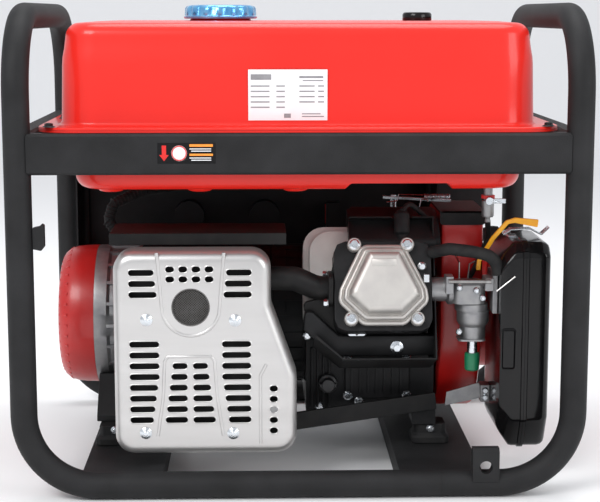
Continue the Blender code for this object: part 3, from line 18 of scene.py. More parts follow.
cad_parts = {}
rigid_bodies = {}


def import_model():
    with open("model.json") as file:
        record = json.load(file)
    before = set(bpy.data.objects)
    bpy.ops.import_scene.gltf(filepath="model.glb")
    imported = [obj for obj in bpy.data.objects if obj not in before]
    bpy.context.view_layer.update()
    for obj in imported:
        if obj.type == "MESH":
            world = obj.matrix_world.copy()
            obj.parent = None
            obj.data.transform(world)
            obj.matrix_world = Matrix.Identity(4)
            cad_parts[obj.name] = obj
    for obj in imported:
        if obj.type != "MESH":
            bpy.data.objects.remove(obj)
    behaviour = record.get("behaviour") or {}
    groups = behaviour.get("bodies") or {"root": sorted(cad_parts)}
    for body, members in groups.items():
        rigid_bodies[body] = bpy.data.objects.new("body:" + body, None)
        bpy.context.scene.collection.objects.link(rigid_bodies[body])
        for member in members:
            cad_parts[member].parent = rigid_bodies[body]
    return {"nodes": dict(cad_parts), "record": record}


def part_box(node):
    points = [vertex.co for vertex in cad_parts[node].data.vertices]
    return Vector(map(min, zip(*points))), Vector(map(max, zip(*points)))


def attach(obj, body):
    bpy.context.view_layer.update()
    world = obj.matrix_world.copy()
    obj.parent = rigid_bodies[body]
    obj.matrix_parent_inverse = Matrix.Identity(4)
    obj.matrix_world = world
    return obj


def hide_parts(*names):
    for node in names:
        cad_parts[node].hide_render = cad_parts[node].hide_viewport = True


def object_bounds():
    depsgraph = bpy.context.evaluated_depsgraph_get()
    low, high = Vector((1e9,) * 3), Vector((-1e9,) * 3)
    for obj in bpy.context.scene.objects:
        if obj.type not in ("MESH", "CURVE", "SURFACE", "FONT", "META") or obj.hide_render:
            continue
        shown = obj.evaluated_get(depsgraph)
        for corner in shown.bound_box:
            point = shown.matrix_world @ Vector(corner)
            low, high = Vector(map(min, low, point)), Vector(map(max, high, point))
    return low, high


MM = 0.001


def mm(values):
    """A number, or a nest of lists and tuples, from millimetres to metres."""
    return type(values)(mm(value) for value in values) if isinstance(values, (list, tuple)) else values * MM


for left_over in list(bpy.data.objects):
    bpy.data.objects.remove(left_over)
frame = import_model()
NODES = frame["nodes"]
RECORD = frame["record"]
CAD_BOX = [list(corner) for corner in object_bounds()]
SLOT_OF = {row["node"]: row["material_slot"] for row in RECORD["subparts"]}
BODY_OF = {node: body for body, nodes in RECORD["behaviour"]["bodies"].items() for node in nodes}
print(len(NODES), "solids in a box of", CAD_BOX)

# %% [markdown]
# ## Finishes
#
# A real finish is never one colour.  Paint varies a little in gloss, castings have a grain,
# and zinc carries a faint cloud.  A painted texture would need an unwrapped mesh, so these
# finishes read Object coordinates instead: a coarse noise mixes two close colours and moves
# the roughness, and a fine noise raises the grain as a bump.  One function wires that graph,
# and each finish is one call of it with its own colours and sizes.


# %% The common paint graph
def uneven(name, colour, second, rough, patch, grain, height, stretch=(1, 1, 1), **constants):
    """Two mixed colours, a gloss between two values and a grain of the given size and height."""
    made = bpy.data.materials.new(name)
    made.use_nodes = True
    nodes, links = made.node_tree.nodes, made.node_tree.links
    shader = nodes["Principled BSDF"]
    place = nodes.new("ShaderNodeTexCoord")
    turn = nodes.new("ShaderNodeMapping")
    turn.inputs["Scale"].default_value = stretch
    links.new(place.outputs["Object"], turn.inputs["Vector"])
    cloud = nodes.new("ShaderNodeTexNoise")
    cloud.inputs["Scale"].default_value = 1 / patch
    cloud.inputs["Detail"].default_value = 5
    fine = nodes.new("ShaderNodeTexNoise")
    fine.inputs["Scale"].default_value = 1 / grain
    fine.inputs["Detail"].default_value = 3
    links.new(turn.outputs["Vector"], cloud.inputs["Vector"])
    links.new(turn.outputs["Vector"], fine.inputs["Vector"])
    share = nodes.new("ShaderNodeMapRange")
    share.inputs["From Min"].default_value = 0.35
    share.inputs["From Max"].default_value = 0.68
    links.new(cloud.outputs["Fac"], share.inputs["Value"])
    tint = nodes.new("ShaderNodeMix")
    tint.data_type = "RGBA"
    tint.inputs["A"].default_value = (*colour, 1)
    tint.inputs["B"].default_value = (*second, 1)
    links.new(share.outputs["Result"], tint.inputs["Factor"])
    links.new(tint.outputs["Result"], shader.inputs["Base Color"])
    gloss = nodes.new("ShaderNodeMapRange")
    gloss.inputs["To Min"].default_value, gloss.inputs["To Max"].default_value = rough
    links.new(fine.outputs["Fac"], gloss.inputs["Value"])
    links.new(gloss.outputs["Result"], shader.inputs["Roughness"])
    raised = nodes.new("ShaderNodeBump")
    raised.inputs["Strength"].default_value = 1.0
    raised.inputs["Distance"].default_value = height
    links.new(fine.outputs["Fac"], raised.inputs["Height"])
    links.new(raised.outputs["Normal"], shader.inputs["Normal"])
    for socket, value in constants.items():
        shader.inputs[socket.replace("_", " ")].default_value = value
    return made


# %% [markdown]
# ### Paint on steel
#
# The tubes wear a textured powder coat: charcoal, half gloss, with a grain that catches the
# light as fine specks.  The tank is enamelled in a clear gloss red, so it gets a coat layer
# over a nearly smooth base.  The engine's tinware is a flatter black.

# %% Paints
POWDER = uneven("charcoal powder coat", (0.012, 0.012, 0.0125), (0.020, 0.020, 0.021), (0.42, 0.78), 0.05,
    0.0011, 0.00022, Specular_IOR_Level=0.22)
ENAMEL = uneven("gloss red enamel", (0.74, 0.020, 0.012), (0.68, 0.017, 0.010), (0.30, 0.40), 0.12, 0.004,
    0.00002, Coat_Weight=0.35, Coat_Roughness=0.10, Specular_IOR_Level=0.25)
HOUSING_RED = uneven("red housing paint", (0.50, 0.007, 0.005), (0.43, 0.006, 0.005), (0.30, 0.46), 0.04,
    0.002, 0.00005, Coat_Weight=0.3, Coat_Roughness=0.2)
TIN = uneven("heat-proof black", (0.006, 0.006, 0.0065), (0.012, 0.0115, 0.011), (0.42, 0.62), 0.02,
    0.0012, 0.00008, Specular_IOR_Level=0.22)
CASTING = uneven("black painted casting", (0.007, 0.007, 0.0075), (0.014, 0.014, 0.015), (0.36, 0.60),
    0.015, 0.0016, 0.00018, Specular_IOR_Level=0.22)
print("five paints")

# %% [markdown]
# ### Bare metal
#
# Die-cast aluminium is blasted to a warm grey with a close grain.  The muffler's guard is
# satin sheet, so its grain is stretched along the sheet.  Fasteners are zinc plated with a
# cold tint, and the filler cap is chromed under a blue film.

# %% Metals
ALUMINIUM = uneven("blasted aluminium", (0.56, 0.54, 0.51), (0.50, 0.48, 0.46), (0.42, 0.58), 0.02,
    0.0007, 0.00007, Metallic=0.75)
ALLOY = uneven("grey alloy", (0.34, 0.34, 0.34), (0.27, 0.27, 0.28), (0.34, 0.55), 0.012, 0.0009, 0.0001,
    Metallic=0.85)
SATIN = uneven("satin steel sheet", (0.60, 0.59, 0.58), (0.54, 0.53, 0.52), (0.30, 0.42), 0.03, 0.0009,
    0.00003, stretch=(0.15, 1, 1), Metallic=0.8)
ZINC = uneven("bright zinc", (0.70, 0.74, 0.78), (0.60, 0.62, 0.64), (0.16, 0.34), 0.006, 0.0008, 0.00003,
    Metallic=1.0)
FILM = uneven("chrome under blue film", (0.05, 0.30, 0.62), (0.16, 0.48, 0.78), (0.12, 0.26), 0.012,
    0.003, 0.0001, Metallic=0.55, Coat_Weight=0.8, Coat_Roughness=0.05)
STEEL = uneven("oiled steel", (0.40, 0.39, 0.38), (0.30, 0.29, 0.28), (0.24, 0.40), 0.02, 0.0012, 0.00005,
    stretch=(3, 1, 1), Metallic=1.0)
IRON = uneven("grey iron", (0.16, 0.155, 0.15), (0.11, 0.105, 0.10), (0.5, 0.7), 0.02, 0.0014, 0.0002,
    Metallic=0.7)
print("seven metals")

# %% [markdown]
# ### Plastics, rubber and the rest
#
# Mouldings are dark and glossy with a faint ripple; hoses and mounts are matt with a
# dry bloom.  The windings are lacquered copper and the filter is open foam.

# %% Mouldings and soft materials
GLOSS = uneven("gloss black moulding", (0.004, 0.004, 0.0045), (0.007, 0.0065, 0.0065), (0.10, 0.22),
    0.03, 0.006, 0.00008, Coat_Weight=0.12, Coat_Roughness=0.06, Specular_IOR_Level=0.22)
SATIN_BLACK = uneven("satin black moulding", (0.008, 0.008, 0.0085), (0.014, 0.014, 0.015), (0.38, 0.55),
    0.03, 0.0008, 0.00006, Specular_IOR_Level=0.22)
RED_PLASTIC = uneven("satin red moulding", (0.66, 0.016, 0.012), (0.58, 0.013, 0.011), (0.34, 0.50), 0.04,
    0.0009, 0.00004)
YELLOW = uneven("yellow dip coating", (0.90, 0.42, 0.010), (0.84, 0.36, 0.008), (0.28, 0.42), 0.01, 0.002,
    0.00005)
RUBBER = uneven("dull rubber", (0.010, 0.010, 0.011), (0.020, 0.0195, 0.019), (0.58, 0.82), 0.012, 0.0010,
    0.00008, Specular_IOR_Level=0.22)
COPPER = uneven("lacquered copper", (0.42, 0.17, 0.07), (0.30, 0.11, 0.05), (0.26, 0.46), 0.01, 0.0014,
    0.0003, stretch=(0.3, 1, 1), Metallic=0.8)
FOAM = uneven("oiled foam", (0.05, 0.05, 0.055), (0.09, 0.09, 0.10), (0.85, 0.98), 0.004, 0.0016, 0.0012)
GREEN = uneven("green plug", (0.010, 0.17, 0.075), (0.008, 0.13, 0.06), (0.30, 0.45), 0.01, 0.001,
    0.00004)
WHITE = uneven("white foil", (0.82, 0.82, 0.83), (0.78, 0.78, 0.79), (0.30, 0.40), 0.02, 0.002, 0.00001)
ORANGE = uneven("orange ink", (0.85, 0.30, 0.03), (0.80, 0.26, 0.03), (0.35, 0.45), 0.01, 0.001, 0.00001)
GREY_INK = uneven("grey ink", (0.22, 0.22, 0.23), (0.28, 0.28, 0.29), (0.35, 0.45), 0.01, 0.001, 0.00001)
FINISH_OF_SLOT = {
    "frame_black": POWDER, "tank_red": ENAMEL, "housing_red": HOUSING_RED, "cover_red": RED_PLASTIC,
    "engine_black": CASTING, "sheet_black": TIN, "stator_black": CASTING, "cast_metal": ALUMINIUM,
    "flywheel_iron": IRON, "shield_steel": SATIN, "steel": STEEL, "bright_steel": ZINC,
    "chrome_cap": FILM, "rubber": RUBBER, "black_plastic": GLOSS, "yellow_plastic": YELLOW,
    "copper_core": COPPER, "foam": FOAM,
}
for node, solid in NODES.items():
    solid.data.materials.clear()
    solid.data.materials.append(FINISH_OF_SLOT[SLOT_OF[node]])
print("every solid has its finish")

# %% [markdown]
# ## Tools of the bench
#
# Most pieces come from three moves: a loft through outlines, a turned profile, and a copy of
# a solid whose edges are eased.  A finished piece always ends the same way, so one function
# merges it, turns its faces outwards, gives it its finish and hangs it on its body.


# %% Finish a mesh as a piece
def add_piece(name, mesh, body, stands_for=()):
    made = bpy.data.objects.new(name, mesh)
    bpy.context.scene.collection.objects.link(made)
    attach(made, body)
    if stands_for:
        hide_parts(*stands_for)
    return made


def finish_piece(name, bm, paint, body="root", stands_for=(), sharp=35):
    """A bmesh becomes a smooth piece that rides on a body and may stand for solids."""
    bmesh.ops.remove_doubles(bm, verts=bm.verts, dist=2e-6)
    bmesh.ops.recalc_face_normals(bm, faces=bm.faces)
    mesh = bpy.data.meshes.new(name)
    bm.to_mesh(mesh)
    bm.free()
    mesh.materials.append(paint)
    mesh.shade_smooth()
    mesh.set_sharp_from_angle(angle=math.radians(sharp))
    return add_piece(name, mesh, body, stands_for)


def ease_edges(piece, width, segments=2):
    """A small round on every corner of a piece."""
    round_step = piece.modifiers.new("eased edges", "BEVEL")
    round_step.width = width
    round_step.segments = segments
    round_step.limit_method = "ANGLE"
    round_step.angle_limit = math.radians(30)
    round_step.harden_normals = True
    return piece


def eased_solid(node, width, segments=2, paint=None):
    """A merged copy of a solid with eased edges stands for it."""
    bm = bmesh.new()
    bm.from_mesh(NODES[node].data)
    bmesh.ops.remove_doubles(bm, verts=bm.verts, dist=2e-6)
    bmesh.ops.dissolve_limit(bm, angle_limit=math.radians(1), verts=bm.verts, edges=bm.edges)
    made = finish_piece(node + "_eased", bm, paint or FINISH_OF_SLOT[SLOT_OF[node]], BODY_OF[node],
        (node,), 30)
    return ease_edges(made, width, segments)


# %% Outlines
def offset_corners(points, shrink):
    """The corners of an outline moved inwards by the same distance on every side."""
    count = len(points)
    area = sum(points[k - 1][0] * points[k][1] - points[k][0] * points[k - 1][1] for k in range(count))
    sign = 1 if area > 0 else -1
    moved = []
    for k in range(count):
        here = Vector(points[k])
        before = (here - Vector(points[k - 1])).normalized()
        after = (Vector(points[(k + 1) % count]) - here).normalized()
        n1 = Vector((-before.y, before.x)) * sign
        n2 = Vector((-after.y, after.x)) * sign
        moved.append(here + (n1 + n2) * (shrink / (1 + n1.dot(n2))))
    return moved, sign


def round_outline(points, radius, shrink=0.0, steps=6):
    """An outline with arcs for corners; the arcs stay concentric when it shrinks."""
    corners, sign = offset_corners(points, shrink)
    outline = []
    for k, corner in enumerate(corners):
        before = (corners[k - 1] - corner).normalized()
        after = (corners[(k + 1) % len(corners)] - corner).normalized()
        convex = (before.x * after.y - before.y * after.x) * sign < 0
        arc = max(radius - shrink if convex else radius + shrink, 0.5 * MM)
        half = before.angle(after) / 2
        reach = min(arc / math.tan(half), 0.48 * (corners[k - 1] - corner).length,
            0.48 * (corners[(k + 1) % len(corners)] - corner).length)
        arc = reach * math.tan(half)
        centre = corner + (before + after).normalized() * (arc / math.sin(half))
        start = corner + before * reach - centre
        end = corner + after * reach - centre
        turn = start.angle(end)
        for i in range(steps + 1):
            share = i / steps
            arm = start * math.sin((1 - share) * turn) + end * math.sin(share * turn)
            outline.append(tuple(centre + arm / math.sin(turn)))
    return outline


def rectangle(x, y):
    return [(x[0], y[0]), (x[1], y[0]), (x[1], y[1]), (x[0], y[1])]


# %% Lofts and turned shapes
def loft(rings, closed_ends=True):
    """A skin through rings of points, with a face across each end."""
    bm = bmesh.new()
    rows = [[bm.verts.new(point) for point in ring] for ring in rings]
    for first, second in zip(rows, rows[1:]):
        for i in range(len(first)):
            j = (i + 1) % len(first)
            bm.faces.new((first[i], first[j], second[j], second[i]))
    if closed_ends:
        bm.faces.new(rows[0])
        bm.faces.new(rows[-1])
    return bm


PLACE = {"X": lambda a, b, c: (c, a, b), "Y": lambda a, b, c: (a, c, b), "Z": lambda a, b, c: (a, b, c)}


def along(axis, outline, level):
    """An outline in the two other axes at one level of an axis."""
    return [PLACE[axis](a, b, level) for a, b in outline]


def turned(axis, centre, profile, sides=64):
    """A profile of (radius, level) turned round an axis through a centre."""
    rings = []
    for radius, level in profile:
        circle = [(centre[0] + radius * math.cos(math.tau * i / sides),
            centre[1] + radius * math.sin(math.tau * i / sides)) for i in range(sides)]
        rings.append(along(axis, circle, level))
    return loft(rings)


def prism(axis, outline, levels):
    """One outline carried straight through some levels of an axis."""
    return loft([along(axis, outline, level) for level in levels])


def stepped(axis, corners, radius, profile, steps=6):
    """A round-cornered outline shrunk by the inset of each (inset, level)."""
    return loft([along(axis, round_outline(corners, radius, inset, steps), level)
        for inset, level in profile])


def block(x, y, z):
    return prism("Z", rectangle(x, y), z)


def up_from(base, profile):
    """(radius, level) pairs from millimetres, with the levels counted from a base."""
    return [(radius * MM, base + level * MM) for radius, level in profile]


def quarter(radius, steps=6):
    """(inset, drop) pairs of a quarter round, from the flat face round to the side."""
    angles = [math.pi / 2 * i / steps for i in range(steps + 1)]
    return [(radius * (1 - math.sin(a)), radius * (1 - math.cos(a))) for a in angles]


def joined(*parts):
    """Several bmeshes as one."""
    whole = bmesh.new()
    for part in parts:
        mesh = bpy.data.meshes.new("part")
        part.to_mesh(mesh)
        part.free()
        whole.from_mesh(mesh)
        bpy.data.meshes.remove(mesh)
    return whole


print("bench tools are ready")

# %% [markdown]
# ## Rules as Geometry Nodes
#
# Tubes, wires, bolts, fins and punched slots all follow a rule, so each rule is drawn once
# as a node tree with named sizes, and then run on a small guide mesh.  Keeping the trees live
# would be flexible, but the finished model needs plain meshes, so every result is baked: the
# modifier is evaluated, its mesh is kept and the modifier is thrown away.


# %% Build and run a tree
def new_tree(name, inputs):
    """A tree with a geometry input and output and the named inputs."""
    tree = bpy.data.node_groups.new(name, "GeometryNodeTree")
    tree.interface.new_socket("Geometry", in_out="INPUT", socket_type="NodeSocketGeometry")
    for label, kind, value in inputs:
        socket = tree.interface.new_socket(label, in_out="INPUT", socket_type="NodeSocket" + kind)
        if value is not None:
            socket.default_value = value
    tree.interface.new_socket("Geometry", in_out="OUTPUT", socket_type="NodeSocketGeometry")
    return tree, tree.nodes.new("NodeGroupInput"), tree.nodes.new("NodeGroupOutput")


def step(tree, kind, links=(), settings=(), **values):
    """One node, its settings, its values and its incoming links as (socket, source output)."""
    node = tree.nodes.new(kind)
    for setting, choice in settings:
        setattr(node, setting, choice)
    for socket, value in values.items():
        node.inputs[socket.replace("_", " ")].default_value = value
    for socket, source in links:
        tree.links.new(source, node.inputs[socket])
    return node


def close_tree(tree, source, paint, out):
    """Real geometry with its finish is what leaves a tree."""
    real = step(tree, "GeometryNodeRealizeInstances", [("Geometry", source)])
    dressed = step(tree, "GeometryNodeSetMaterial", [("Geometry", real.outputs[0]), ("Material", paint)])
    tree.links.new(dressed.outputs[0], out.inputs[0])
    return tree


def guide_mesh(points, edges=(), faces=(), **attributes):
    """A small mesh of points with values stored on them, for a tree to read."""
    mesh = bpy.data.meshes.new("guide")
    mesh.from_pydata(points, edges, faces)
    for label, values in attributes.items():
        kind = "FLOAT_VECTOR" if isinstance(values[0], (tuple, Vector)) else "FLOAT"
        stored = mesh.attributes.new(label, kind, "POINT")
        for place, value in zip(stored.data, values):
            if kind == "FLOAT":
                place.value = value
            else:
                place.vector = value
    return mesh


def run_tree(name, tree, guide, body="root", stands_for=(), sharp=35, **sizes):
    """Evaluates a tree on a guide and keeps the result as a plain piece."""
    carrier = bpy.data.objects.new(name + "_guide", guide)
    bpy.context.scene.collection.objects.link(carrier)
    rule = carrier.modifiers.new("rule", "NODES")
    rule.node_group = tree
    for socket in tree.interface.items_tree:
        if socket.in_out == "INPUT" and socket.name.replace(" ", "_") in sizes:
            rule[socket.identifier] = sizes[socket.name.replace(" ", "_")]
    view = bpy.context.evaluated_depsgraph_get()
    mesh = bpy.data.meshes.new_from_object(carrier.evaluated_get(view))
    carrier.modifiers.remove(rule)
    bpy.data.objects.remove(carrier)
    mesh.name = name
    for attribute in list(mesh.attributes):
        if attribute.name in ("bend", "facing"):
            mesh.attributes.remove(attribute)
    mesh.shade_smooth()
    mesh.set_sharp_from_angle(angle=math.radians(sharp))
    return add_piece(name, mesh, body, stands_for)


# %% [markdown]
# ### Tubes and wires
#
# Frame tube, exhaust, hoses, leads, rods and woven wire are one idea at several sizes: a
# circle carried along a path with bent corners.  The guide holds only the corners and the
# bend radius at each of them; Fillet Curve makes the arcs, and Curve to Mesh the wall.


# %% The tube tree
def tube_rule():
    tree, inside, out = new_tree("tube along a path", [("Radius", "Float", 0.016), ("Sides", "Int", 24),
        ("Arc", "Int", 12), ("Paint", "Material", None)])
    line = step(tree, "GeometryNodeMeshToCurve", [("Mesh", inside.outputs["Geometry"])])
    bend = step(tree, "GeometryNodeInputNamedAttribute", (), [("data_type", "FLOAT")], Name="bend")
    arcs = step(tree, "GeometryNodeFilletCurve", [("Curve", line.outputs[0]),
        ("Count", inside.outputs["Arc"]), ("Radius", bend.outputs["Attribute"])], [("mode", "POLY")],
        Limit_Radius=True)
    circle = step(tree, "GeometryNodeCurvePrimitiveCircle",
        [("Resolution", inside.outputs["Sides"]), ("Radius", inside.outputs["Radius"])])
    wall = step(tree, "GeometryNodeCurveToMesh", [("Curve", arcs.outputs[0]),
        ("Profile Curve", circle.outputs[0])], Fill_Caps=True)
    return close_tree(tree, wall.outputs[0], inside.outputs["Paint"], out)


TUBE_RULE = tube_rule()


def tube(name, corners, bends, radius, paint, body="root", stands_for=(), sides=16, arc=8):
    """A tube through corners; bends holds the radius at each inner corner, or one for all."""
    inner = len(corners) - 2
    radii = [bends] * inner if isinstance(bends, float) else list(bends)
    guide = guide_mesh(corners, [(i, i + 1) for i in range(len(corners) - 1)], bend=[0.0] + radii + [0.0])
    return run_tree(name, TUBE_RULE, guide, body, stands_for, Radius=radius, Sides=sides, Arc=arc,
        Paint=paint)


def strands(name, lines, radius, paint, body="root", sides=6, closed=False):
    """Many separate straight-cornered wires in one piece."""
    points, edges = [], []
    for line in lines:
        first = len(points)
        points += line
        edges += [(first + i, first + i + 1) for i in range(len(line) - 1)]
        if closed:
            edges.append((len(points) - 1, first))
    guide = guide_mesh(points, edges, bend=[0.0] * len(points))
    return run_tree(name, TUBE_RULE, guide, body, Radius=radius, Sides=sides, Arc=1, Paint=paint)


print("tube rule has", len(TUBE_RULE.nodes), "nodes")

# %% [markdown]
# ### Bolts
#
# Every bolt here is a hexagon on a round flange.  The guide is one point for each bolt with
# the direction that its head faces; the tree builds the head once and instances it.


# %% The bolt tree
def bolt_rule():
    tree, inside, out = new_tree("flanged bolts", [("Head", "Float", 0.005), ("Height", "Float", 0.004),
        ("Flange", "Float", 0.007), ("Paint", "Material", None)])
    hexagon = step(tree, "GeometryNodeMeshCylinder", [("Radius", inside.outputs["Head"]),
        ("Depth", inside.outputs["Height"])], Vertices=6)
    dimple = step(tree, "GeometryNodeMeshCone", [("Radius Bottom", inside.outputs["Head"]),
        ("Radius Top", inside.outputs["Height"])], Vertices=16, Depth=0.0006)
    flange = step(tree, "GeometryNodeMeshCone", [("Radius Bottom", inside.outputs["Flange"]),
        ("Radius Top", inside.outputs["Head"])], Vertices=24, Depth=0.0016)
    half = step(tree, "ShaderNodeMath", [(0, inside.outputs["Height"])], [("operation", "MULTIPLY")])
    half.inputs[1].default_value = 0.5
    lift = step(tree, "ShaderNodeCombineXYZ", [("Z", half.outputs[0])])
    raised = step(tree, "GeometryNodeTransform", [("Geometry", hexagon.outputs[0]),
        ("Translation", lift.outputs[0])])
    top = step(tree, "ShaderNodeCombineXYZ", [("Z", inside.outputs["Height"])])
    capped = step(tree, "GeometryNodeTransform", [("Geometry", dimple.outputs[0]),
        ("Translation", top.outputs[0])], Scale=(0.8, 0.8, 1.0))
    head = step(tree, "GeometryNodeJoinGeometry")
    for part in (capped, raised, flange):
        tree.links.new(part.outputs[0], head.inputs[0])
    facing = step(tree, "GeometryNodeInputNamedAttribute", (), [("data_type", "FLOAT_VECTOR")],
        Name="facing")
    turn = step(tree, "FunctionNodeAlignRotationToVector", [("Vector", facing.outputs["Attribute"])],
        [("axis", "Z")])
    copies = step(tree, "GeometryNodeInstanceOnPoints", [("Points", inside.outputs["Geometry"]),
        ("Instance", head.outputs[0]), ("Rotation", turn.outputs[0])])
    return close_tree(tree, copies.outputs[0], inside.outputs["Paint"], out)


BOLT_RULE = bolt_rule()


def bolts(name, places, facing, head=4.5 * MM, height=3.5 * MM, flange=6.5 * MM, body="root", paint=None):
    """Bolt heads at places, all facing one way or each its own."""
    ways = facing if isinstance(facing, list) else [facing] * len(places)
    guide = guide_mesh(places, facing=[Vector(way) for way in ways])
    return run_tree(name, BOLT_RULE, guide, body, sharp=28, Head=head, Height=height, Flange=flange,
        Paint=paint or ZINC)


print("bolt rule has", len(BOLT_RULE.nodes), "nodes")

# %% [markdown]
# ### Rows and rings
#
# Fins, ribs and louvres repeat one shape at an even pitch, in a line or round an axis.  The
# guide is the shape itself; a Mesh Line gives the copies, and a ring turns each by its index.


# %% The row and ring trees
def row_rule():
    tree, inside, out = new_tree("row of copies", [("Count", "Int", 5), ("Pitch", "Vector", (0.01, 0, 0)),
        ("Paint", "Material", None)])
    line = step(tree, "GeometryNodeMeshLine", [("Count", inside.outputs["Count"]),
        ("Offset", inside.outputs["Pitch"])])
    copies = step(tree, "GeometryNodeInstanceOnPoints", [("Points", line.outputs[0]),
        ("Instance", inside.outputs["Geometry"])])
    return close_tree(tree, copies.outputs[0], inside.outputs["Paint"], out)


def ring_rule():
    tree, inside, out = new_tree("ring of copies round X",
        [("Count", "Int", 12), ("Centre", "Vector", (0, 0, 0)), ("Step", "Float", 0.5),
        ("Start", "Float", 0.0), ("Paint", "Material", None)])
    line = step(tree, "GeometryNodeMeshLine", [("Count", inside.outputs["Count"]),
        ("Start Location", inside.outputs["Centre"])], Offset=(0, 0, 0))
    number = step(tree, "GeometryNodeInputIndex")
    angle = step(tree, "ShaderNodeMath", [(0, number.outputs[0]), (1, inside.outputs["Step"]),
        (2, inside.outputs["Start"])], [("operation", "MULTIPLY_ADD")])
    turn = step(tree, "ShaderNodeCombineXYZ", [("X", angle.outputs[0])])
    copies = step(tree, "GeometryNodeInstanceOnPoints", [("Points", line.outputs[0]),
        ("Instance", inside.outputs["Geometry"]), ("Rotation", turn.outputs[0])])
    return close_tree(tree, copies.outputs[0], inside.outputs["Paint"], out)


ROW_RULE = row_rule()
RING_RULE = ring_rule()


def as_guide(bm):
    bmesh.ops.recalc_face_normals(bm, faces=bm.faces)
    mesh = bpy.data.meshes.new("guide")
    bm.to_mesh(mesh)
    bm.free()
    return mesh


def ring(name, shape, count, centre, paint, body="root", whole=math.tau, start=0.0, stands_for=()):
    """Copies of a shape, drawn beside the X axis, turned evenly round a centre."""
    pitch = whole / count if whole >= math.tau else whole / (count - 1)
    return run_tree(name, RING_RULE, as_guide(shape), body, stands_for, Count=count, Centre=centre,
        Step=pitch, Start=start, Paint=paint)


def row(name, shape, count, pitch, paint, body="root"):
    return run_tree(name, ROW_RULE, as_guide(shape), body, Count=count, Pitch=pitch, Paint=paint)


print("row and ring rules are ready")

# %% [markdown]
# ### Punched slots
#
# A press punches round-ended slots through sheet.  Each slot is one edge of the guide: a bar
# along the edge and a round punch at both of its ends make the cutter, and Mesh Boolean
# takes it out of the sheet.


# %% The punch tree
def punch_rule():
    tree, inside, out = new_tree("punched slots", [("Sheet", "Object", None), ("Radius", "Float", 0.0034),
        ("Depth", "Float", 0.012), ("Paint", "Material", None)])
    line = step(tree, "GeometryNodeMeshToCurve", [("Mesh", inside.outputs["Geometry"])])
    double = step(tree, "ShaderNodeMath", [(0, inside.outputs["Radius"])], [("operation", "MULTIPLY")])
    double.inputs[1].default_value = 2.0
    section = step(tree, "GeometryNodeCurvePrimitiveQuadrilateral",
        [("Width", inside.outputs["Depth"]), ("Height", double.outputs[0])])
    bar = step(tree, "GeometryNodeCurveToMesh", [("Curve", line.outputs[0]),
        ("Profile Curve", section.outputs[0])], Fill_Caps=True)
    punch = step(tree, "GeometryNodeMeshCylinder", [("Radius", inside.outputs["Radius"]),
        ("Depth", inside.outputs["Depth"])], Vertices=20)
    ends = step(tree, "GeometryNodeInstanceOnPoints", [("Points", inside.outputs["Geometry"]),
        ("Instance", punch.outputs[0])], Rotation=(math.pi / 2, 0, 0))
    solid_ends = step(tree, "GeometryNodeRealizeInstances", [("Geometry", ends.outputs[0])])
    cutter = step(tree, "GeometryNodeJoinGeometry")
    tree.links.new(bar.outputs[0], cutter.inputs[0])
    tree.links.new(solid_ends.outputs[0], cutter.inputs[0])
    sheet = step(tree, "GeometryNodeObjectInfo", [("Object", inside.outputs["Sheet"])])
    hole = step(tree, "GeometryNodeMeshBoolean", [("Mesh 1", sheet.outputs["Geometry"]),
        ("Mesh 2", cutter.outputs[0])], [("operation", "DIFFERENCE"), ("solver", "EXACT")],
        Self_Intersection=True)
    return close_tree(tree, hole.outputs[0], inside.outputs["Paint"], out)


PUNCH_RULE = punch_rule()


def plain_mesh(bm, *modifiers):
    """A bmesh with modifiers applied, as a helper object."""
    helper = bpy.data.objects.new("helper", as_guide(bm))
    bpy.context.scene.collection.objects.link(helper)
    for kind, values in modifiers:
        change = helper.modifiers.new(kind, kind)
        for key, value in values.items():
            setattr(change, key, value)
    view = bpy.context.evaluated_depsgraph_get()
    mesh = bpy.data.meshes.new_from_object(helper.evaluated_get(view))
    helper.modifiers.clear()
    helper.data = mesh
    return helper


def less(solid, cutter):
    """A helper solid loses the room of a cutter, which is thrown away."""
    solid.modifiers.new("cut", "BOOLEAN").object = cutter
    view = bpy.context.evaluated_depsgraph_get()
    mesh = bpy.data.meshes.new_from_object(solid.evaluated_get(view))
    solid.modifiers.clear()
    solid.data = mesh
    bpy.data.objects.remove(cutter)
    return solid


def take_piece(name, helper, paint, stands_for=(), body="root", sharp=40):
    """A helper's mesh becomes a finished piece."""
    mesh = helper.data
    bpy.data.objects.remove(helper)
    mesh.materials.clear()
    mesh.materials.append(paint)
    mesh.shade_smooth()
    mesh.set_sharp_from_angle(angle=math.radians(sharp))
    return add_piece(name, mesh, body, stands_for)


def punched(name, sheet, slots, radius, paint, level, stands_for=()):
    """A sheet object loses the slots, given as (x0, x1, z) at one level of Y."""
    points, edges = [], []
    for x0, x1, z in slots:
        edges.append((len(points), len(points) + 1))
        points += [(x0 + radius, level, z), (x1 - radius, level, z)]
    made = run_tree(name, PUNCH_RULE, guide_mesh(points, edges), "root", stands_for, Sheet=sheet,
        Radius=radius, Paint=paint)
    bpy.data.objects.remove(sheet)
    return made


print("punch rule has", len(PUNCH_RULE.nodes), "nodes")

# %% [markdown]
# ## The frame
#
# Two bent tubes carry the whole set.  The solids have twelve-sided tubes, so finer tubes
# stand for them, run along the same corners with the same bend radii.  The handle's height
# and the posts' places are read from the solids' own boxes, so the two can't drift apart.

# %% Frame tubes
TUBE_R = 16 * MM
FOOT_BEND = 87 * MM
HANDLE_BEND = 91 * MM
LEFT_BOX, RIGHT_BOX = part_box("frame_loop_left"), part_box("frame_loop_right")


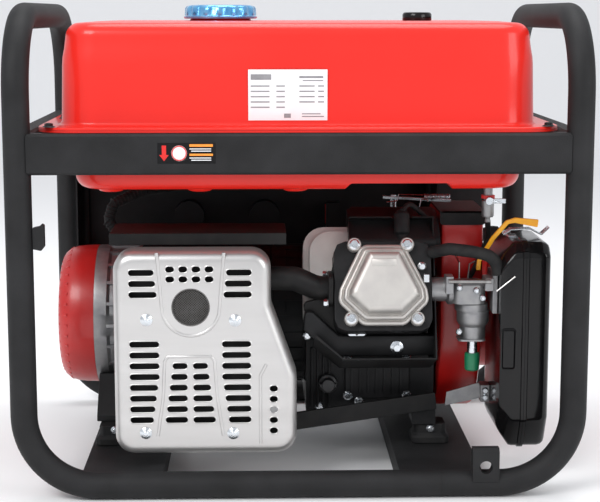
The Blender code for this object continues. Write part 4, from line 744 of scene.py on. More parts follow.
def frame_tube(name, outer_x, seam_x, low, high):
    """Front rail, post, handle, post and rear rail of one loop."""
    y0, y1 = low[1] + TUBE_R, high[1] - TUBE_R
    foot, top = low[2] + TUBE_R, high[2] - TUBE_R
    corners = [(seam_x, y0, foot), (outer_x, y0, foot), (outer_x, y0, top), (outer_x, y1, top),
        (outer_x, y1, foot), (seam_x, y1, foot)]
    return tube(name + "_tube", corners, [FOOT_BEND, HANDLE_BEND, HANDLE_BEND, FOOT_BEND], TUBE_R, POWDER,
        stands_for=(name,), sides=32, arc=20)


SEAM_X = LEFT_BOX[1][0]
frame_tube("frame_loop_left", LEFT_BOX[0][0] + TUBE_R, SEAM_X, *LEFT_BOX)
frame_tube("frame_loop_right", RIGHT_BOX[1][0] - TUBE_R, RIGHT_BOX[0][0], *RIGHT_BOX)
for node in ("tank_rail_front", "tank_rail_rear", "side_rail_left", "side_rail_right"):
    eased_solid(node, 1.2 * MM, 2)
for node in ("base_channel_left", "base_channel_right", "wheel_kit_lug", "alternator_cradle"):
    eased_solid(node, 0.9 * MM, 2)
MOUNTS = ["rubber_mount_" + place for place in ("left_front", "left_rear", "right_front", "right_rear")]
for node in MOUNTS:
    eased_solid(node, 1.6 * MM, 3)
print("frame seam at X =", round(SEAM_X, 4))

# %% [markdown]
# ### Welds and fixings on the frame
#
# A weld bead is a ring of overlapping ripples.  Here it is a short tube round each joint,
# thin enough to read as a fillet.  The tubes' seams have a ring of them, front and rear, and
# each end of the front rail has one upright row.

# %% Weld beads, seam and fixings
RAIL_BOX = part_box("tank_rail_front")
RIPPLE = 0.35 * MM


def bead(x, y, z, axis, radius, ripples=28):
    """A ring of points whose radius swells at every second one."""
    circle = []
    for i in range(ripples):
        swell = radius + (RIPPLE if i % 2 else 0.0)
        angle = math.tau * i / ripples
        arm = PLACE[axis](swell * math.cos(angle), swell * math.sin(angle), 0)
        circle.append(tuple(Vector((x, y, z)) + Vector(arm)))
    return circle


FOOT_Z, POST_Y = TUBE_R, CAD_BOX[1][1] - TUBE_R
WELD_PITCH = 4.4 * MM
strands("frame_welds", [bead(SEAM_X, y, FOOT_Z, "X", TUBE_R - 0.9 * MM) for y in (-POST_Y, POST_Y)],
    1.2 * MM, POWDER, closed=True)
rail_welds = []
for side in (-1, 1):
    x = side * (CAD_BOX[1][0] - 2 * TUBE_R + 1 * MM)
    y = RAIL_BOX[0][1] + 1.5 * MM
    rail_welds.append([(x, y, RAIL_BOX[0][2] + 2 * MM + k * WELD_PITCH) for k in range(11)])
strands("rail_welds", rail_welds, 1.5 * MM, POWDER, sides=8)
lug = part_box("wheel_kit_lug")
strands("lug_welds", [[(x, lug[0][1] + 3 * MM, 30.5 * MM), (x, lug[0][1] + 9 * MM, 34 * MM)]
    for x in (lug[0][0], lug[1][0])], 1.4 * MM, POWDER)
mount_studs = []
for node in MOUNTS:
    low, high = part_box(node)
    mount_studs.append(((low[0] + high[0]) / 2, low[1] + 3.4 * MM, high[2] - 6 * MM))
bolts("mount_bolts", mount_studs, (0, -1, 0), 4 * MM, 3 * MM, 5.5 * MM)
print(len(rail_welds), "rail welds")

# %% [markdown]
# ## The fuel tank
#
# The tank is two deep-drawn pressings, welded round a flat flange.  Deep drawing leaves no
# sharp corner anywhere: the walls lean in, the shoulder is a wide round and the flange turns
# out through a small fillet.  A loft through rounded rectangles follows that exactly, so the
# profile is a list of (inset, height) steps and every ring is the same outline, shrunk.

# %% The upper shell
TANK_LOW, TANK_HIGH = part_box("tank_shell")
NECK_X, GAUGE_X = -97 * MM, 159 * MM
SKIN_TOP = TANK_HIGH[2] - 14 * MM
FLANGE_TOP = TANK_LOW[2] + 3 * MM
TANK_X, TANK_Y, CORNER = 284 * MM, 212 * MM, 45 * MM
FLANGE_X, FLANGE_Y = 308 * MM, 240 * MM
SHOULDER_R = 17 * MM
NECK_R = 35.5 * MM


def tank_ring(half_x, half_y, z, corner=CORNER, inset=0.0):
    flat = round_outline(rectangle((-half_x, half_x), (-half_y, half_y)), corner, inset, 10)
    return along("Z", flat, z)


def shell_rings():
    flange = [tank_ring(FLANGE_X, FLANGE_Y, TANK_LOW[2]),
        tank_ring(FLANGE_X, FLANGE_Y, FLANGE_TOP - 0.8 * MM),
        tank_ring(FLANGE_X, FLANGE_Y, FLANGE_TOP, inset=0.8 * MM)]
    fillet = [(-5.0 + 5.0 * math.sin(a), 5.0 - 5.0 * math.cos(a))
        for a in [math.pi / 2 * i / 5 for i in range(6)]]
    wall = [(inset * MM, FLANGE_TOP + up * MM) for inset, up in fillet]
    wall += up_from(FLANGE_TOP, [(1, 40), (1.8, 70), (2.6, 80), (4.6, 90)])
    for inset, drop in quarter(SHOULDER_R, 9)[::-1]:
        wall.append((6.5 * MM + inset, SKIN_TOP - 1.6 * MM - drop))
    rings = flange + [tank_ring(TANK_X, TANK_Y, z, CORNER, inset) for inset, z in wall]
    rings += [tank_ring(TANK_X, TANK_Y, SKIN_TOP - 0.8 * MM, CORNER, 34 * MM),
        tank_ring(TANK_X, TANK_Y, SKIN_TOP - 0.4 * MM, CORNER, 40 * MM),
        tank_ring(TANK_X, TANK_Y, SKIN_TOP, CORNER, 44 * MM)]
    return rings


neck_hole = plain_mesh(turned("Z", (NECK_X, 0), [(NECK_R, SKIN_TOP - 40 * MM),
    (NECK_R, SKIN_TOP + 20 * MM)]))
take_piece("tank_upper_pressing", less(plain_mesh(loft(shell_rings())), neck_hole), ENAMEL,
    ("tank_shell",))
neck = turned("Z", (NECK_X, 0), [(NECK_R, SKIN_TOP - 6 * MM), (41 * MM, SKIN_TOP - 1 * MM),
    (39 * MM, SKIN_TOP + 1.5 * MM), (38 * MM, SKIN_TOP + 4 * MM), (38 * MM, TANK_HIGH[2] - 1 * MM),
    (37.4 * MM, TANK_HIGH[2]), (36.2 * MM, TANK_HIGH[2]), (NECK_R, TANK_HIGH[2] - 1 * MM),
    (35.4 * MM, SKIN_TOP - 6 * MM)])
finish_piece("filler_neck", neck, ENAMEL)
print("skin top at", round(SKIN_TOP, 4))

# %% [markdown]
# ### The pan under the tank
#
# Only the pan's belly shows below the rail.  Its front is stepped up where the engine needs
# room, and round bosses are pressed down from it, so those are cut and added as shapes.

# %% The lower pressing
PAN_LOW, PAN_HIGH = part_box("tank_pan")
PAN_X, PAN_Y, BELLY_R = 270 * MM, 200 * MM, 16 * MM


def pan_rings():
    rings = [tank_ring(FLANGE_X, FLANGE_Y, z) for z in (PAN_HIGH[2], PAN_HIGH[2] - 2.4 * MM)]
    side = [(0.0, PAN_HIGH[2] - 2.5 * MM)]
    side += [(inset, PAN_LOW[2] + 0.5 * MM + drop) for inset, drop in quarter(BELLY_R, 7)[::-1]]
    rings += [tank_ring(PAN_X, PAN_Y, z, CORNER, inset) for inset, z in side]
    rings.append(tank_ring(PAN_X, PAN_Y, PAN_LOW[2] + 0.5 * MM, CORNER, 26 * MM))
    return rings


step_outline = mm([(48, 360), (190, 360), (180, 376), (62, 376)])
recess = plain_mesh(prism("Y", round_outline(step_outline, 6 * MM), mm((-230, -100))))
take_piece("tank_lower_pressing", less(plain_mesh(loft(pan_rings())), recess), ENAMEL, ("tank_pan",))
boss = [turned("Z", (x, -0.172), up_from(PAN_LOW[2], [(11, -2.6), (14, -1.6), (16, 1)]), 32)
    for x in (-0.226, -0.119, -0.004)]
finish_piece("pan_bosses", joined(*boss), ENAMEL)
corners_of_flange = [(sx * 0.292, sy * y, FLANGE_TOP + 0.6 * MM) for sx in (-1, 1) for sy in (-1, 1)
    for y in (0.228, 0.075)]
bolts("flange_bolts", corners_of_flange, (0, 0, 1), 5 * MM, 4 * MM, 8 * MM, paint=SATIN_BLACK)
print(len(corners_of_flange), "bolts hold the tank")

# %% [markdown]
# ### Filler cap and gauge
#
# The cap is a spun dome whose skirt is rolled into finger scallops.  A turned profile gives
# the dome; the scallops are a wave added to the radius, which a lathe alone can't make.

# %% The cap and the gauge
CAP_LOW, CAP_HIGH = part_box("fuel_cap")
SCALLOPS = 16


def cap_ring(radius, z, wave=0.0):
    points = []
    for i in range(96):
        angle = math.tau * i / 96
        r = radius - wave * (0.5 - 0.5 * math.cos(SCALLOPS * angle)) ** 2
        points.append((NECK_X + r * math.cos(angle), r * math.sin(angle), z))
    return points


cap_levels = [(42 * MM, CAP_LOW[2] + 0.4 * MM, 0), (46.5 * MM, CAP_LOW[2], 0),
    (47.5 * MM, CAP_LOW[2] + 1 * MM, 0), (47.5 * MM, CAP_LOW[2] + 3 * MM, 0),
    (46 * MM, CAP_LOW[2] + 4 * MM, 0), (46.5 * MM, CAP_LOW[2] + 5 * MM, 2.2 * MM),
    (46 * MM, CAP_HIGH[2] - 5 * MM, 2.2 * MM), (44.5 * MM, CAP_HIGH[2] - 2.4 * MM, 1.2 * MM),
    (41 * MM, CAP_HIGH[2] - 0.8 * MM, 0), (36 * MM, CAP_HIGH[2] - 0.2 * MM, 0),
    (30 * MM, CAP_HIGH[2] - 1.4 * MM, 0), (26 * MM, CAP_HIGH[2] - 1.6 * MM, 0)]
finish_piece("filler_cap_dome", loft([cap_ring(*level) for level in cap_levels]), FILM, "cap",
    ("fuel_cap",), 50)
GAUGE_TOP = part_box("fuel_gauge")[1][2]
gauge = turned("Z", (GAUGE_X, 0), [(18 * MM, SKIN_TOP - 1 * MM), (19 * MM, SKIN_TOP + 1 * MM),
    (19 * MM, GAUGE_TOP - 3 * MM), (17.5 * MM, GAUGE_TOP - 0.6 * MM), (15.5 * MM, GAUGE_TOP),
    (14 * MM, GAUGE_TOP - 2 * MM)])
finish_piece("gauge_bezel", gauge, GLOSS, stands_for=("fuel_gauge",))
finish_piece("gauge_dial", turned("Z", (GAUGE_X, 0), up_from(GAUGE_TOP, [(13.6, -2.2), (13.4, -1.6)]),
    48), WHITE)
finish_piece("gauge_pointer", block((GAUGE_X - 10 * MM, GAUGE_X + 2 * MM), mm((-0.8, 0.8)),
    (GAUGE_TOP - 1.5 * MM, GAUGE_TOP - 1.1 * MM)), RED_PLASTIC)
print("cap and gauge done")

# %% [markdown]
# ## The exhaust
#
# The bright guard is what the eye meets first: a tray of thin sheet with rolled edges, rows
# of punched slots, a round window and shallow pressed ribs.  The tray is lofted from one
# outline, shrunk along a quarter round, and Solidify gives it the sheet's thickness before
# the slots are punched.

# %% The guard's sheet
GUARD_LOW, GUARD_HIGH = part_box("heat_shield")
GUARD_FACE, GUARD_STEP, GUARD_ROLL = GUARD_LOW[1], -34 * MM, 13 * MM
WINDOW = mm((-130, 230))


def guard_corners():
    x0, x1, z0, z1 = GUARD_LOW[0], GUARD_HIGH[0], GUARD_LOW[2], GUARD_HIGH[2]
    rise = z1 - z0
    return [(x0, z0), (x1, z0), (x1, z0 + 0.39 * rise), (GUARD_STEP, z0 + 0.74 * rise), (GUARD_STEP, z1),
        (x0, z1)]


def guard_tray():
    rings = [along("Y", round_outline(guard_corners(), 24 * MM, inset, 8), GUARD_FACE + drop)
        for inset, drop in quarter(GUARD_ROLL, 8)]
    rings.append(along("Y", round_outline(guard_corners(), 24 * MM, 0.0, 8), GUARD_HIGH[1]))
    bm = loft(rings, closed_ends=False)
    bm.verts.ensure_lookup_table()
    bm.faces.new(bm.verts[:len(rings[0])])
    return bm


guard = plain_mesh(guard_tray(), ("SOLIDIFY", {"thickness": 1.4 * MM, "offset": -1.0}))
window = plain_mesh(turned("Y", WINDOW, up_from(GUARD_FACE, [(22, -5), (22, 9)])))
guard = less(guard, window)
print("guard tray has", len(guard.data.polygons), "faces")

# %% Punch the guard
SLOT_R = 3.7 * MM
SLOT_PITCH = 13.3 * MM


def guard_slots():
    """Every slot as (left end, right end, height)."""
    slots = []
    for i in range(3):
        z = 272 * MM - i * SLOT_PITCH
        slots.append((-204 * MM, (-173.5 + 1.6 * i) * MM, z))
        slots.append(((-87.5 - 1.6 * i) * MM, -57 * MM, z))
    for i in range(8):
        z = 185 * MM - i * SLOT_PITCH
        taper = max(i - 3, 0) * 1.9 * MM
        slots.append((-204 * MM, -168 * MM - taper, z))
        slots.append((-93 * MM + taper, -58 * MM, z))
        if i >= 2:
            wide = (i - 2) * 1.8 * MM
            slots.append((-152.5 * MM - wide, -134.5 * MM, z))
            slots.append((-128 * MM, -110 * MM + wide, z))
    for i in range(4):
        x = (-154.5 + 15.6 * i) * MM
        slots += [(x - 5.3 * MM, x + 5.3 * MM, z * MM) for z in (276, 264)]
    slots += [(-36 * MM, -26 * MM, (130 - 13 * i) * MM) for i in range(5)]
    return slots


SLOTS = guard_slots()
punched("muffler_guard", guard, SLOTS, SLOT_R, SATIN, GUARD_FACE + 1 * MM, ("heat_shield",))


def racetrack(x0, x1, z, r, y, steps=7):
    """The round-ended lip of a slot."""
    points = []
    for centre, first in ((x1 - SLOT_R, -90), (x0 + SLOT_R, 90)):
        for i in range(steps + 1):
            angle = math.radians(first + 180 * i / steps)
            points.append((centre + r * math.cos(angle), y, z + r * math.sin(angle)))
    return points


strands("slot_lips", [racetrack(*slot, SLOT_R + 0.5 * MM, GUARD_FACE + 0.15 * MM) for slot in SLOTS],
    0.7 * MM, SATIN, closed=True)
print(len(SLOTS), "slots punched and lipped")

# %% [markdown]
# ### Ribs, window and screen of the guard
#
# The pressed ribs stand a millimetre proud, so each is a thin tube sunk almost flush.  The
# spark screen is woven: two sets of straight wires crossing at right angles, each as long as
# the circle allows at its place.


# %% Pressed ribs, screen, screws
def rib(points):
    return [(x * MM, GUARD_FACE + 1.3 * MM, z * MM) for x, z in points]


tongue = [(-170, 296), (-167, 262), (-165, 236)]
tongue += [(-130 + 34.6 * math.cos(math.radians(a)), 230 + 34.6 * math.sin(math.radians(a)))
    for a in range(185, 356, 9)]
tongue += [(-95, 236), (-93, 262), (-90, 296)]
lower_field = [(-171, 72), (-164, 120), (-162, 164), (-158, 170), (-106, 170), (-102, 164), (-99, 120),
    (-92, 72)]
strands("pressed_ribs", [rib(tongue), rib(lower_field), rib([(-47, 62), (-47, 146), (-40, 160)])],
    2.4 * MM, SATIN, sides=12)


def screen_wires(radius, pitch, y):
    """Two sets of slanting wires, each cut to the window's circle."""
    wires = []
    for turn, level in ((math.pi / 4, y), (-math.pi / 4, y + 0.5 * MM)):
        ahead = Vector((math.cos(turn), math.sin(turn)))
        aside = Vector((-ahead.y, ahead.x))
        for i in range(-int(radius / pitch), int(radius / pitch) + 1):
            reach = math.sqrt(max(radius ** 2 - (i * pitch) ** 2, 0.0))
            if reach > pitch:
                ends = [Vector(WINDOW) + aside * i * pitch + ahead * reach * s for s in (-1, 1)]
                wires.append([(end.x, level, end.y) for end in ends])
    return wires


WIRES = screen_wires(21 * MM, 2.1 * MM, GUARD_FACE + 2.6 * MM)
strands("spark_screen", WIRES, 0.36 * MM, IRON)
rim = turned("Y", WINDOW, up_from(GUARD_FACE, [(20.6, 6), (21.2, 1.2), (22.4, -0.4), (23.4, 0.2),
    (21.8, 6)]), 64)
finish_piece("screen_rim", rim, IRON)
finish_piece("screen_back", turned("Y", WINDOW, up_from(GUARD_FACE, [(20.4, 5.4), (20.4, 5.9)])), TIN)
guard_screws = [(-183, 215), (-77, 214), (-185.5, 76), (-80, 75)]
bolts("guard_screws", [(x * MM, GUARD_FACE - 0.6 * MM, z * MM) for x, z in guard_screws], (0, -1, 0),
    4.4 * MM, 3 * MM, 7.4 * MM)
print(len(WIRES), "wires in the screen")

# %% [markdown]
# ### Muffler, pipe and baffle
#
# Behind the guard the silencer is a black box of folded sheet.  Its pipe is a bent tube and
# the baffle a folded plate, so eased copies of the solids and one finer tube are enough.

# %% Muffler, pipe, stay and baffle
eased_solid("muffler_body", 3 * MM, 3)
eased_solid("muffler_stay", 1 * MM, 2)
eased_solid("heat_baffle", 0.6 * MM, 2)
PIPE_LOW, PIPE_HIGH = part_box("exhaust_pipe")
pipe_route = [(PIPE_HIGH[0], -148.2 * MM, 239.2 * MM), mm((22, -148.2, 241)), mm((-4, -156, 254)),
    (PIPE_LOW[0], -157 * MM, 255 * MM)]
tube("exhaust_elbow", pipe_route, 26 * MM, 15 * MM, TIN, stands_for=("exhaust_pipe",), sides=32)
plate = prism("X", round_outline(rectangle(mm((-172, -126)), mm((219, 260))), 12 * MM), mm((37, 43)))
ease_edges(finish_piece("pipe_flange", plate, TIN), 0.8 * MM)
bolts("pipe_nuts", mm([(36.5, -168, 225), (36.5, -131, 254)]), (-1, 0, 0), 5 * MM, 5 * MM, 6 * MM)
print("exhaust done")

# %% [markdown]
# ## The engine's top end
#
# The cylinder lies twenty degrees above level, so its pieces are drawn in the cylinder's own
# axes, across, up the fins and out along the bore, and one matrix stands them in place.

# %% The cylinder's own axes
CYLINDER = Matrix.Translation(mm((104, 20, 178))) @ Matrix.Rotation(math.radians(70), 4, "X")


def stood(bm):
    bmesh.ops.transform(bm, matrix=CYLINDER, verts=bm.verts)
    return bm


def in_place(u, v, t):
    return tuple(CYLINDER @ Vector(mm((u, v, t))))


OUTWARD = tuple((CYLINDER.to_3x3() @ Vector((0, 0, 1))))
print("the bore points to", [round(c, 3) for c in OUTWARD])

# %% [markdown]
# ### Rocker cover
#
# A die casting with a wide waist, a joint flange, a groove and a raised panel.  The outline
# has eight corners, every step of its profile is that outline shrunk, and four ears carry
# the bolts.

# %% Rocker cover
COVER_W, COVER_H = 56 * MM, 50 * MM
waist = [(0.46, -1), (1, -0.42), (0.96, -0.10), (0.48, 1), (-0.48, 1), (-0.96, -0.10), (-1, -0.42),
    (-0.46, -1)]
cover_corners = [(a * COVER_W, b * COVER_H) for a, b in waist]
cover_profile = [(0.8, 200.3), (0, 201), (0, 207), (1.2, 208.6), (3.2, 209), (4.4, 207.6), (5.4, 207.4),
    (6.0, 209), (6.0, 216), (7.0, 217.6), (9.0, 218), (10.2, 216.8), (11.2, 216.8), (12.0, 218.4),
    (12.6, 226), (14.2, 231.4), (17.5, 234.2), (21, 235)]


def cover_casting():
    rings = [along("Z", round_outline(cover_corners, 13 * MM, inset * MM, 6), t * MM)
        for inset, t in cover_profile]
    parts = [loft(rings)]
    for u, v in COVER_EARS:
        parts.append(turned("Z", (u * MM, v * MM), mm([(8.6, 200.5), (8.6, 209), (7.6, 210.4)]), 32))
    panel = stepped("Z", rectangle(mm((-16, 14)), mm((18, 28))), 1.5 * MM,
        mm(((0, 234), (0, 235.4), (0.5, 235.8))))
    return stood(joined(*parts, panel))


COVER_EARS = [(-35, 50), (30, 50), (-40, -42), (41, -42)]
finish_piece("rocker_cover", cover_casting(), ALUMINIUM, stands_for=("valve_cover",), sharp=50)
bolts("rocker_cover_bolts", [in_place(u, v, 210) for u, v in COVER_EARS], OUTWARD, 4.6 * MM, 4.5 * MM,
    7.2 * MM)
print("rocker cover on", len(COVER_EARS), "bolts")

# %% [markdown]
# ### Cooling fins
#
# The fins are thin plates at an even pitch down the barrel.  The solids hold them in one
# casting with the crankcase; here the bare plates are drawn once and a row tree repeats
# them along the bore.

# %% Fins and castings
FIN_PITCH = 11 * MM
fin_shape = stood(prism("Z", round_outline(rectangle(mm((-96.4, -8)), mm((-50, 84.4))), 26 * MM),
    mm((146.7, 150.2))))
pitch = tuple((CYLINDER.to_3x3() @ Vector((0, 0, -FIN_PITCH))))
row("barrel_fins", fin_shape, 5, pitch, ALUMINIUM)
head_fin = prism("Z", round_outline(rectangle(mm((-88.4, -20)), mm((-50, 76.4))), 26 * MM),
    mm((158, 161.6)))
finish_piece("head_fin_plate", stood(head_fin), ALUMINIUM)
eased_solid("engine_block", 1.6 * MM, 2)
eased_solid("cylinder_head", 1.8 * MM, 2)
eased_solid("head_shroud", 0.5 * MM, 1)
eased_solid("engine_adapter", 1.2 * MM, 2)
print("five barrel fins at", FIN_PITCH)

# %% [markdown]
# ### Crankcase face
#
# The crankcase front is stiffened by upright ribs and a raised cover plate, and a curved
# tin leads the air under the barrel.  Ribs are a row; the plate and the tin are lofts.

# %% Crankcase ribs, plate and tin
rib_bar = prism("Z", round_outline(rectangle(mm((18, 21)), mm((-85, -79))), 1 * MM, 0, 2), mm((72, 150)))
row("case_ribs", rib_bar, 4, (7.5 * MM, 0, 0), CASTING)
cover_plate = stepped("Y", rectangle(mm((62, 146)), mm((84, 142))), 8 * MM,
    mm(((0, -80), (0, -86), (1.2, -87.4))))
finish_piece("case_cover", cover_plate, CASTING)
row("cover_ribs", block(mm((70, 73)), mm((-90, -86)), mm((92, 134))), 7, (10.5 * MM, 0, 0), CASTING)
tin_outline = [(6, 222), (17, 225), (36, 232), (44, 275), (66, 275), (66, 176), (50, 178), (8, 210)]
tin = prism("Y", round_outline(mm(tin_outline), 6 * MM, 0, 4), mm((-151, -143.4)))
ease_edges(finish_piece("barrel_tin", tin, TIN), 2 * MM, 3)
case_bolts = [(14, 166), (30, 72), (80, 80), (66, 88), (142, 88), (66, 138), (142, 138)]
bolts("case_bolts", [(x * MM, -87.6 * MM if 60 < x < 150 else -80.2 * MM, z * MM) for x, z in case_bolts],
    (0, -1, 0), 4 * MM, 4 * MM, 6 * MM)
print("crankcase dressed")

# %% [markdown]
# ### Air shroud, studs and governor linkage
#
# The lower shroud is a black moulding with a rounded front edge.  Above it stand the ball of
# the governor link and its light spring.  A spring is one point carried round and along at
# the same time, so a list of points on that helix goes through the tube tree.

# %% Shroud edge, studs, governor
apron = mm([(6, 190), (8, 214), (18, 213), (50, 183), (173, 183), (173, 157), (44, 157)])
apron_rings = [along("Y", round_outline(apron, 5 * MM, inset * MM), y * MM)
    for inset, y in ((4, -164), (1.2, -163), (0, -160), (0, -150))]
finish_piece("shroud_apron", loft(apron_rings), SATIN_BLACK)
hood = stepped("X", mm([(-150, 291), (-112, 322), (-62, 336), (-62, 296), (-118, 276)]), 12 * MM,
    mm(((4, 64), (0, 70), (0, 172), (4, 178))))
finish_piece("shroud_hood", hood, SATIN_BLACK)
bolts("shroud_bolts", mm([(122, -164.2, 168)]), (0, -1, 0), 4.5 * MM, 5 * MM, 8 * MM)
bolts("head_studs", mm([(68, -152, 188), (77, -152, 188)]), (0, -1, 0), 3.6 * MM, 9 * MM, 4.2 * MM)
ease_edges(finish_piece("hood_bracket", block(mm((153, 160)), mm((-178, -172)), mm((252, 262))), ZINC),
    0.8 * MM)
bolts("hood_screw", mm([(152, -165, 270)]), (0, -1, 0), 3.6 * MM, 4 * MM, 5.5 * MM)


def helix(start, end, radius, turns, per_turn=10):
    """Points carried round and along from a start to an end."""
    a, b = Vector(start), Vector(end)
    ahead = (b - a).normalized()
    side = ahead.orthogonal().normalized()
    other = ahead.cross(side)
    count = turns * per_turn
    found = []
    for i in range(count + 1):
        angle = math.tau * i / per_turn
        arm = (side * math.cos(angle) + other * math.sin(angle)) * radius
        found.append(tuple(a + (b - a) * i / count + arm))
    return found


spring = helix(mm((167, -40, 341)), mm((201, -40, 341)), 3.4 * MM, 16)
strands("governor_spring", [spring], 0.6 * MM, ZINC, "throttle")
rods = mm([[(118, -40, 334), (132, -40, 336), (134, -40, 344), (166, -40, 343)],
    [(118, -44, 327), (160, -44, 325), (163, -44, 338), (170, -44, 338), (172, -44, 335)]])
strands("governor_rods", rods, 1.0 * MM, ZINC, "throttle")
screen_plate = prism("Y", round_outline(rectangle(mm((180, 238)), mm((313, 330.4))), 5 * MM),
    mm((-107.6, -105.4)))
top_plate = block(mm((180, 238)), mm((-107.6, 8)), mm((328.4, 330.4)))
finish_piece("lever_plate", joined(screen_plate, top_plate), TIN)
print("governor spring of", len(spring), "points")

# %% [markdown]
# ## Induction side
#
# The carburettor is a small grey casting: a block with a mixing bore, two lugs, a bright
# throttle shaft, a round bowl below, a solenoid and its green plug.  Turned profiles give
# the round parts and eased blocks the rest.

# %% Carburettor
CARB_Y = -147 * MM
barrel = stepped("Z", rectangle(mm((190, 232)), mm((-169, -127))), 13 * MM,
    mm(((0, 222), (0, 246), (2, 249))))
carb = joined(barrel, block(mm((181, 190.5)), mm((-173, -150)), mm((236, 258))),
    block(mm((229, 240)), mm((-175, -145)), mm((240, 256))),
    block(mm((239, 245.4)), mm((-170.5, -123.5)), mm((211, 262))),
    turned("X", (CARB_Y, 238 * MM), mm([(15, 164.6), (15, 184), (19, 186), (19, 192)]), 40),
    turned("Z", (216 * MM, CARB_Y), mm([(20.5, 212), (20.5, 221), (18, 223)]), 48))
ease_edges(finish_piece("carburettor_body", carb, ALLOY, stands_for=("carburettor",)), 1 * MM)
bowl = turned("Z", (218 * MM, CARB_Y), mm([(15.5, 177), (16, 178.5), (16, 192), (18.5, 195.5),
    (19.9, 198.5), (19.9, 210), (20.6, 210.5), (20.6, 212.6)]), 56)
finish_piece("bowl_pressing", bowl, ALLOY, stands_for=("float_bowl",))
solenoid = turned("Z", (218 * MM, CARB_Y), mm([(5, 157), (6.5, 157.5), (6.5, 173.5), (11.5, 174),
    (11.5, 176.6)]), 36)
finish_piece("solenoid_case", solenoid, ZINC, stands_for=("fuel_solenoid",))
plug = turned("Z", (218 * MM, CARB_Y), mm([(7.4, 134.8), (9, 136.5), (9.4, 146), (9.4, 155),
    (8.6, 157.4)]), 36)
finish_piece("solenoid_plug", plug, GREEN)
finish_piece("solenoid_plate", prism("Z", round_outline(rectangle(mm((199, 233)), mm((-163, -133))),
    6 * MM), mm((174.6, 176.8))), ALLOY)
strands("throttle_shaft", mm([[(184, -174.5, 252.5), (236, -176.5, 252.5)]]), 2.6 * MM, STEEL, sides=16)
bolts("carburettor_screws", mm([(198, -169.5, 243.5), (219, -169.5, 240), (227, -169, 230.5),
    (199.5, -160, 186.5)]), (0, -1, 0), 3 * MM, 2.4 * MM, 4.2 * MM)
links = mm([[(200, -150, 250), (200, -150, 272), (196, -140, 280)],
    [(212, -140, 250), (214, -138, 268), (222, -128, 270)], [(240, -196, 244), (262, -197, 262)]])
strands("carburettor_links", links, 1.0 * MM, STEEL)

# %% [markdown]
# ### Choke lever and hoses
#
# The lever is a flat strip dipped in yellow plastic, so its section is a rounded bar that
# widens to a paddle.  It rides on the choke's own body.  Hoses are tubes on smooth routes.

# %% Choke lever, breather hose, fuel hose
lever_route = [(223.8, -147, 262), (224.5, -149, 274), (240, -156, 303), (256, -164, 324),
    (265, -167, 327), (292, -175, 324)]
lever_width = [5.5, 5.5, 5.5, 5.5, 6.5, 9.5]


def lever_bm():
    rings = []
    for i, (x, y, z) in enumerate(lever_route):
        ahead = Vector(lever_route[min(i + 1, 5)]) - Vector(lever_route[max(i - 1, 0)])
        up = Vector((-ahead.z, 0, ahead.x)).normalized() * lever_width[i] / 2
        aside = Vector((0, 2.2, 0))
        centre = Vector((x, y, z))
        corners = [centre + up - aside, centre - up - aside, centre - up + aside, centre + up + aside]
        rings.append([tuple(corner * MM) for corner in corners])
    bm = loft(rings)
    bmesh.ops.recalc_face_normals(bm, faces=bm.faces)
    return bm


ease_edges(finish_piece("choke_handle", lever_bm(), YELLOW, "choke", ("choke_lever",)), 1.1 * MM, 3)
hose_route = mm([(164, -153, 285), (185, -168, 292), (212, -179, 290), (240, -180, 284),
    (244.5, -180, 262)])
tube("breather_pipe", hose_route, 22 * MM, 7.6 * MM, RUBBER, stands_for=("breather_hose",), sides=24)
tube("fuel_hose", mm([(234, -150, 324), (240, -120, 300), (228, -105, 262), (216, -128, 250)]), 14 * MM,
    3.6 * MM, RUBBER, sides=16)
tube("ignition_lead", mm([(130, -128, 334), (140, -116, 343), (168, -100, 318), (181, -90, 296)]),
    12 * MM, 3.2 * MM, RUBBER, sides=16)
eased_solid("plug_cap", 1.2 * MM, 2)
print("choke and hoses done")

# %% [markdown]
# ### Air cleaner
#
# Two deep mouldings in gloss black meet at a flange.  Both are lofts of one outline: the
# base leans in to its back, and the cover has a wide soft edge.  The base has a drain pocket
# in its side, whose lip is a low frame of rings.

# %% Air cleaner mouldings
FOOT, HEAD = 42, 302
cleaner = mm([(-192, 82), (-170, FOOT), (-64, FOOT), (-64, HEAD), (-178, HEAD), (-192, 288)])


def cleaner_shell(levels):
    """Rings of (inset, level, rise of the foot, drop of the top), all in millimetres."""
    rings = []
    for inset, x, rise, drop in levels:
        low, high = (FOOT + inset + rise) * MM, (HEAD - inset - drop) * MM
        outline = round_outline(cleaner, 12 * MM, inset * MM, 6)
        tall = (HEAD - FOOT - 2 * inset) * MM
        rings.append(along("X", [(y, low + (z - (FOOT + inset) * MM) * (high - low) / tall)
            for y, z in outline], x * MM))
    return loft(rings)


base_levels = [(7, 246, 26, 24), (3, 246.4, 24, 22), (0.6, 249, 20, 18), (0, 253, 14, 12), (0, 262, 1, 1),
    (0, 266, 0, 0), (0, 272, 0, 0), (-1.6, 273, 0, 0), (-1.6, 276, 0, 0)]
cover_levels = [(-1.6, 276.3, 0, 0), (-1.6, 279.5, 0, 0), (0.4, 280.6, 0, 0), (0.4, 297, 0, 0),
    (1.6, 302, 0, 0), (4.4, 305.4, 0, 0), (9, 307.2, 0, 0), (13, 308, 0, 0)]
finish_piece("cleaner_base", cleaner_shell(base_levels), GLOSS, stands_for=("air_cleaner_base",))
finish_piece("cleaner_cover", cleaner_shell(cover_levels), GLOSS, "air_cover", ("air_cleaner_cover",))
pocket = rectangle(mm((246.4, 266)), mm((145, 197)))
frame_rings = [along("Y", round_outline(pocket, 5 * MM, inset * MM), -192.2 * MM - out * MM)
    for inset, out in ((0, 0), (0, 2.2), (1.6, 2.6), (3.4, 0.2))]
finish_piece("drain_pocket", loft(frame_rings), GLOSS)
